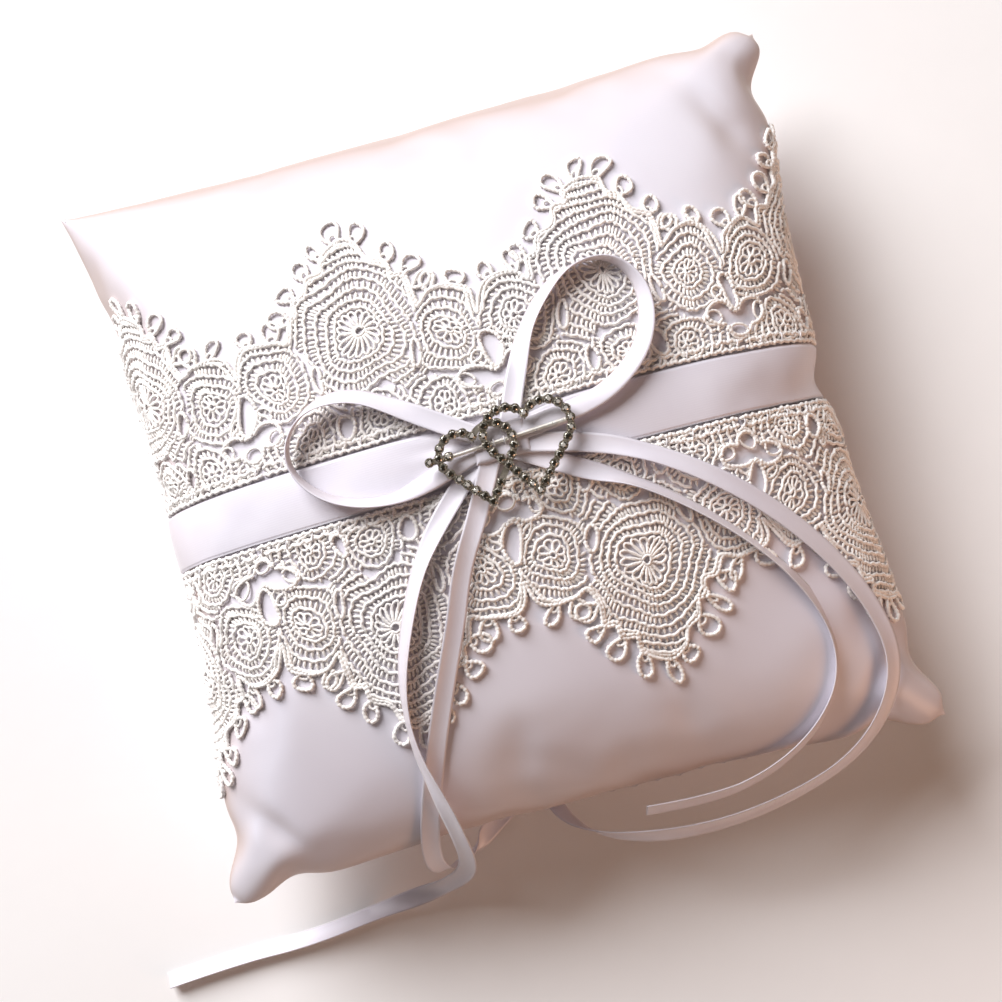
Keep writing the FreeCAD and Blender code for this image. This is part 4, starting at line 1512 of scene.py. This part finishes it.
class NarrowRibbon:
    """Double face satin ribbon of one width, laid along a smooth route."""

    WIDTH = 5.0 * MM
    THICKNESS = 0.32 * MM
    COLUMNS = 9
    STEP = 0.6 * MM
    REST = 0.05 * MM  # air under a ribbon on the table
    CUP = 0.4 * MM  # how far its edges curl
    EASE = 21  # points over which a turn is eased

    def __init__(self, stretch: Stretch, skin: CushionSkin) -> None:
        """Takes the stretch to lay and the cover it lies over."""
        self.stretch = stretch
        self.skin = skin

    def line(self) -> np.ndarray:
        """Points of the smooth line that has the route as its control points."""
        curve = bpy.data.curves.new(self.stretch.node + "_line", "CURVE")
        curve.dimensions = "3D"
        curve.resolution_u = 24
        spline = curve.splines.new("NURBS")
        spline.points.add(len(self.stretch.route) - 1)
        for knot, place in zip(spline.points, self.stretch.route):
            knot.co = (*place, 1.0)
        spline.order_u = 3
        spline.use_endpoint_u = True
        holder = bpy.data.objects.new(curve.name, curve)
        bpy.context.collection.objects.link(holder)
        mesh = bpy.data.meshes.new_from_object(holder)
        line = np.array([vertex.co[:] for vertex in mesh.vertices])
        bpy.data.objects.remove(holder)
        bpy.data.meshes.remove(mesh)
        bpy.data.curves.remove(curve)
        return resample(line, self.STEP)

    def face_up(self, line: np.ndarray) -> np.ndarray:
        """Normals of the ribbon's face: away from the pillow over it, up on the table."""
        size = self.skin.size
        heart = line * np.array([0.55, 0.55, 0.0]) + np.array([0.0, 0.0, 0.3 * size.seam])
        away = unit(line - heart)
        low = np.clip((line[:, 2] - 1.5 * MM) / (12 * MM), 0, 1)[:, None]
        return unit(away * low + np.array([0.0, 0.0, 1.0]) * (1 - low))

    def tilt(self, count: int) -> np.ndarray:
        """Angles of the ribbon's width to the ground, in radians, at each point of its line."""
        stops, angles = zip(*self.stretch.turns)
        tilt = np.radians(np.interp(np.linspace(0, 1, count), stops, angles))
        window = np.hanning(self.EASE)
        padded = np.pad(tilt, self.EASE // 2, mode="edge")
        return np.convolve(padded, window / window.sum(), mode="valid")

    def build(self, material: bpy.types.Material) -> bpy.types.Object:
        line = self.line()
        count = len(line)
        tangent = unit(np.gradient(line, axis=0))
        upward = self.face_up(line)
        side = unit(np.cross(tangent, upward))
        face = np.cross(side, tangent)
        tilt = self.tilt(count)
        across = side * np.cos(tilt)[:, None] + face * np.sin(tilt)[:, None]
        over = np.cross(across, tangent)
        width = np.linspace(-0.5, 0.5, self.COLUMNS) * self.WIDTH
        cup = self.CUP * ((width / self.WIDTH * 2) ** 2 - 0.4)
        layers = []
        for level in (0.5, -0.5):
            points = (
                line[:, None, :]
                + across[:, None, :] * width[None, :, None]
                + over[:, None, :] * (cup + level * self.THICKNESS)[None, :, None]
            )
            layers.append(points)
        section = np.concatenate([layers[0], layers[1][:, ::-1]], axis=1)
        lowest = section[:, :, 2].min(axis=1)
        section[:, :, 2] += np.maximum(0, self.REST - lowest)[:, None]
        columns = section.shape[1]
        faces = grid_faces(count, columns, closed=True)
        pieces = Pieces()
        pieces.add(section.reshape(-1, 3), faces)
        for row in (0, count - 1):
            base = row * columns
            caps = [
                (base + k, base + k + 1, base + columns - 2 - k, base + columns - 1 - k)
                for k in range(self.COLUMNS - 1)
            ]
            caps = np.array(caps)
            pieces.faces.append(caps if row else caps[:, ::-1])
        piece = pieces.make(self.stretch.node + "_satin", material)
        share_across = np.linspace(-1, 1, self.COLUMNS)
        mark_across(piece, np.tile(np.concatenate([share_across, share_across[::-1]]), count))
        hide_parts(self.stretch.node)
        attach(piece, "pillow")
        log.info("laid %s", self.stretch.node)
        return piece


# ------------------------------------------------------------------ buckle
def islands(node: str) -> list[np.ndarray]:
    """The separate solids of a CAD node as arrays of their corners, in the row frame."""
    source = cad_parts[node]
    work = bmesh.new()
    work.from_mesh(source.data)
    bmesh.ops.remove_doubles(work, verts=work.verts, dist=1e-6)
    work.verts.ensure_lookup_table()
    seen: set[int] = set()
    found = []
    for start in work.verts:
        if start.index in seen:
            continue
        group, todo = [], [start]
        seen.add(start.index)
        while todo:
            vertex = todo.pop()
            group.append(tuple(vertex.co))
            for edge in vertex.link_edges:
                other = edge.other_vert(vertex)
                if other.index not in seen:
                    seen.add(other.index)
                    todo.append(other)
        found.append(np.array(group))
    work.free()
    return found


class Buckle:
    """The double heart: plated frames and bar, claw cups and cut stones."""

    def __init__(
        self, plate: bpy.types.Material, wire: bpy.types.Material, crystal: bpy.types.Material
    ) -> None:
        """Takes the finishes of the frames, of the bar and of the stones."""
        self.plate = plate
        self.wire = wire
        self.crystal = crystal
        self.random = np.random.default_rng(11)

    def build(self) -> None:
        """Dresses the CAD frames and replaces the stones with cut ones."""
        for node in (
            "large_heart_frame",
            "small_heart_frame",
            "large_heart_cups",
            "small_heart_cups",
        ):
            dress(node, self.plate)
        dress("buckle_bar", self.wire)
        for prefix in ("large", "small"):
            self.set_stones(prefix)

    def set_stones(self, prefix: str) -> None:
        """Cut stones and claws of one heart, each where its CAD stone sits."""
        node = prefix + "_heart_stones"
        painted_glints: list[float] = []
        claws = Pieces()
        faces: list[tuple[int, ...]] = []
        points: list[np.ndarray] = []
        for corners in islands(node):
            low, high = corners.min(axis=0), corners.max(axis=0)
            middle = (low + high) / 2
            radius = (high[0] - low[0] + high[1] - low[1]) / 4
            base = np.array([middle[0], middle[1], low[2]])
            self.cut(base, radius, high[2] - low[2], points, faces, painted_glints)
            self.claw(base, radius, high[2] - low[2], claws)
        mesh = bpy.data.meshes.new(prefix + "_stones")
        mesh.from_pydata([tuple(p) for p in points], [], faces)
        # per-face tones of the painted glints and painted dark reflections
        layer = mesh.attributes.new("painted_facet_glint", "FLOAT", "FACE")
        layer.data.foreach_set("value", np.array(painted_glints, dtype=np.float32))
        mesh.materials.append(self.crystal)
        piece = bpy.data.objects.new(prefix + "_stones", mesh)
        bpy.context.collection.objects.link(piece)
        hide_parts(node)
        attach(piece, "buckle")
        grips = claws.make(prefix + "_claws", self.plate)
        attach(grips, "buckle")
        log.info("set %s stones", prefix)

    def cut(
        self,
        base: np.ndarray,
        radius: float,
        height: float,
        points: list,
        faces: list,
        painted_glints: list,
    ) -> None:
        """One brilliant: culet ring, girdle, crown facets and table."""
        start = len(points)
        spin = self.random.uniform(0, math.pi)
        rings = ((0.2, 0.0, 8), (1.0, 0.5, 8), (1.0, 0.58, 8), (0.82, 0.82, 8), (0.52, 1.0, 8))
        for k, (share, level, count) in enumerate(rings):
            for i in range(count):
                angle = 2 * math.pi * (i + 0.5 * (k % 2)) / count + spin
                offset = np.array([math.cos(angle), math.sin(angle), 0.0]) * radius * share
                points.append(base + offset + np.array([0.0, 0.0, height * level]))
        for k in range(len(rings) - 1):
            for i in range(8):
                a, b = start + k * 8 + i, start + k * 8 + (i + 1) % 8
                c, d = a + 8, b + 8
                split = ((a, b, d), (a, d, c)) if k % 2 else ((a, b, c), (b, d, c))
                for face in split:
                    faces.append(face)
                    # a random painted glint tone for each facet
                    painted_glints.append(self.random.choice((0.1, 0.25, 0.4, 0.45, 1.0)))
        top = start + (len(rings) - 1) * 8
        faces.append(tuple(range(top, top + 8)))
        # a random painted glint tone for the table
        painted_glints.append(self.random.choice((0.1, 0.3, 1.0)))
        faces.append(tuple(range(start + 7, start - 1, -1)))
        # the underside is painted as a dark reflection
        painted_glints.append(0.2)

    def claw(self, base: np.ndarray, radius: float, height: float, claws: Pieces) -> None:
        """Four bent claws over the girdle of one stone."""
        spin = self.random.uniform(0, math.pi / 2)
        thread = Thread(0.2 * MM, sides=5)
        for k in range(4):
            angle = spin + k * math.pi / 2
            outward = np.array([math.cos(angle), math.sin(angle), 0.0])
            levels = ((1.12, -0.1), (1.2, 0.45), (1.1, 0.75), (0.82, 0.95))
            path = np.array(
                [base + outward * radius * r + np.array([0, 0, height * h]) for r, h in levels]
            )
            normals = np.tile(outward, (len(path), 1))
            thread.run(path, normals, claws)


def dress(node: str, material: bpy.types.Material) -> None:
    """Gives a CAD node a finished material."""
    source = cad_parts[node]
    source.data.materials.clear()
    source.data.materials.append(material)


# ------------------------------------------------------------------ sewing
class Sewing:
    """Visible stitches: seam, turning gap and lace edges."""

    def __init__(self, pillow: Pillow, material: bpy.types.Material) -> None:
        """Takes the pillow that is sewn and the thread's material."""
        self.pillow = pillow
        self.material = material
        self.thread = Thread(0.2 * MM, bead=0.5 * MM, relief=0.2, step=0.25 * MM)

    def finish(self, pieces: Pieces, name: str, node: str) -> None:
        """Makes one set of stitches and hides the CAD node it stands for."""
        piece = pieces.make(name, self.material)
        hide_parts(node)
        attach(piece, "pillow")

    def build(self) -> None:
        """Sews the seam, the turning gap and the lace edges."""
        self.sew_seam()
        self.sew_gap()
        for sign, name, node in (
            (1, "lace_stitches_upper", "upper_lace_stitches"),
            (-1, "lace_stitches_lower", "lower_lace_stitches"),
        ):
            self.sew_lace(sign, name, node)

    def edge_line(self) -> np.ndarray:
        """The seam as one closed line of points."""
        grid = self.pillow.front.points
        return np.vstack([grid[:, 0], grid[-1, 1:], grid[-2::-1, -1], grid[0, -2:0:-1]])

    def sew_seam(self) -> None:
        """A row of short machine stitches sunk in the seam."""
        line = resample(self.edge_line(), 0.5 * MM)
        line[:, :2] *= 1 - 0.5 * MM / self.pillow.size.half_x
        pieces = Pieces()
        normals = np.tile([0.0, 0.0, 1.0], (5, 1))
        for start in range(0, len(line) - 5, 5):
            self.thread.run(line[start : start + 5], normals, pieces)
        self.finish(pieces, "seam_stitches", "seam_thread")

    def sew_gap(self) -> None:
        """Slanting hand stitches that close the foot seam."""
        size = self.pillow.size
        pieces = Pieces()
        foot = self.pillow.front.points[:, 0]
        for x in np.arange(-42, 43, 6) * MM:
            y = np.interp(x, foot[:, 0], foot[:, 1])
            ends = np.array([[x - 1.4 * MM, y + 0.1 * MM, size.seam + 0.5 * MM]])
            ends = np.vstack([ends, [[x, y - 0.35 * MM, size.seam]]])
            ends = np.vstack([ends, [[x + 1.4 * MM, y + 0.1 * MM, size.seam - 0.5 * MM]]])
            normals = np.tile([0.0, -1.0, 0.0], (3, 1))
            self.thread.run(ends, normals, pieces)
        self.finish(pieces, "gap_stitches", "closing_stitches")

    def sew_lace(self, sign: int, name: str, node: str) -> None:
        """Stitches that hold a trim's straight edge to the satin."""
        pieces = Pieces()
        for s in np.arange(-84, 85, 7) * MM:
            t = sign * (BAND_HALF + np.linspace(1.0, 3.6, 9) * MM)
            lift = (0.4 + 1.1 * np.sin(np.linspace(0.2, math.pi - 0.2, 9))) * MM
            points, normals = self.pillow.front.lay(np.full(9, s) + 0.2 * t, t, lift)
            self.thread.run(points, normals, pieces)
        self.finish(pieces, name, node)


# ------------------------------------------------------------------ studio
@dataclass(frozen=True)
class Studio:
    """Floor, light and camera."""

    azimuth: float = -15.0
    elevation: float = 85.02
    distance: float = 0.5021
    aim: Point3 = (-0.00297, -0.01198, 0.045)
    lens: float = 70.0

    def set_floor(self) -> None:
        """A wide pale floor under the pillow."""
        points = np.array([(-3, -3, 0), (3, -3, 0), (3, 3, 0), (-3, 3, 0)], dtype=float)
        floor = mesh_object("floor", points, np.array([[0, 1, 2, 3]]), FloorFinish("paper").material())

    def set_camera(self) -> None:
        """The camera, nearly overhead."""
        turn, climb = math.radians(self.azimuth), math.radians(self.elevation)
        back = Vector(
            (math.sin(turn) * math.cos(climb), -math.cos(turn) * math.cos(climb), math.sin(climb))
        )
        right = Vector((math.cos(turn), math.sin(turn), 0.0))
        upward = back.cross(right)
        data = bpy.data.cameras.new("camera")
        data.lens = self.lens
        data.sensor_width = 36.0
        data.clip_start = 0.01
        camera = bpy.data.objects.new("camera", data)
        bpy.context.collection.objects.link(camera)
        axes = Matrix((right, upward, back)).transposed()
        camera.matrix_world = Matrix.Translation(
            Vector(self.aim) + back * self.distance
        ) @ axes.to_4x4()
        bpy.context.scene.camera = camera

    def add_light(
        self, name: str, place: Point3, target: Point3, width: float, watts: float, tint: Colour
    ) -> None:
        """One square soft light aimed at a target."""
        data = bpy.data.lights.new(name, "AREA")
        data.size = width
        data.energy = watts
        data.color = tint
        lamp = bpy.data.objects.new(name, data)
        bpy.context.collection.objects.link(lamp)
        lamp.location = place
        heading = Vector(target) - Vector(place)
        lamp.rotation_euler = heading.to_track_quat("-Z", "Y").to_euler()

    def set_light(self) -> None:
        """A broad key from the head's left, and dim surroundings."""
        world = bpy.data.worlds.new("world")
        world.use_nodes = True
        surroundings = world.node_tree.nodes["Background"]
        surroundings.inputs["Color"].default_value = (1.0, 0.8, 0.7, 1.0)
        surroundings.inputs["Strength"].default_value = 0.1
        bpy.context.scene.world = world
        self.add_light("key", (-0.8, 1.38, 1.13), (0, 0, 0.03), 1.3, 66.0, (1.0, 0.985, 1.0))
        self.add_light("warm_fill", (0.55, -0.6, 0.25), (0, 0, 0.03), 0.4, 2.2, (1.0, 0.55, 0.34))
        bpy.context.scene.view_settings.view_transform = "Standard"


def main() -> None:
    """Builds the whole model in order."""
    logging.basicConfig(level=logging.INFO, format="%(message)s")
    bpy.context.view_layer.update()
    studio = Studio()
    studio.set_camera()
    studio.set_floor()
    studio.set_light()
    size = CushionSize.from_frame()
    satin = SatinFinish("cover_satin").material()
    pillow = Pillow(size, satin)
    pillow.build()
    # the ribbons take a smaller share of the painted brown reflection and painted shade seen at a slant
    ribbon = RibbonFinish("ribbon_satin", roughness=0.28, painted_reflection_share=0.3).material()
    for stretch in STRETCHES:
        NarrowRibbon(stretch, pillow.front).build(ribbon)
    low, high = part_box("centre_band")
    Band(pillow.front, low[1], high[1]).build(ribbon)
    thread = CordFinish("sewing_thread", colour=(0.85, 0.84, 0.86), shade=(0.7, 0.68, 0.7)).material()
    Sewing(pillow, thread).build()
    lace = CordFinish("lace_cord").material()
    LaceTrim("lace_upper", "upper_lace_trim", pillow.front, -26.9 * MM, False).build(lace)
    LaceTrim("lace_lower", "lower_lace_trim", pillow.front, 36.2 * MM, True).build(lace)
    plate = PlatedFinish("nickel_plate").material()
    crystal = StoneFinish("crystal").material()
    wire = PlatedFinish(
        "bright_wire", colour=(0.97, 0.95, 0.9), tarnish=(0.8, 0.77, 0.7), metallic=0.5
    ).material()
    Buckle(plate, wire, crystal).build()
    dress("bow_centre_fold", ribbon)
    dress("buckle_thread", thread)
    dress("bow_tack_thread", thread)


if __name__ == "__main__":
    main()
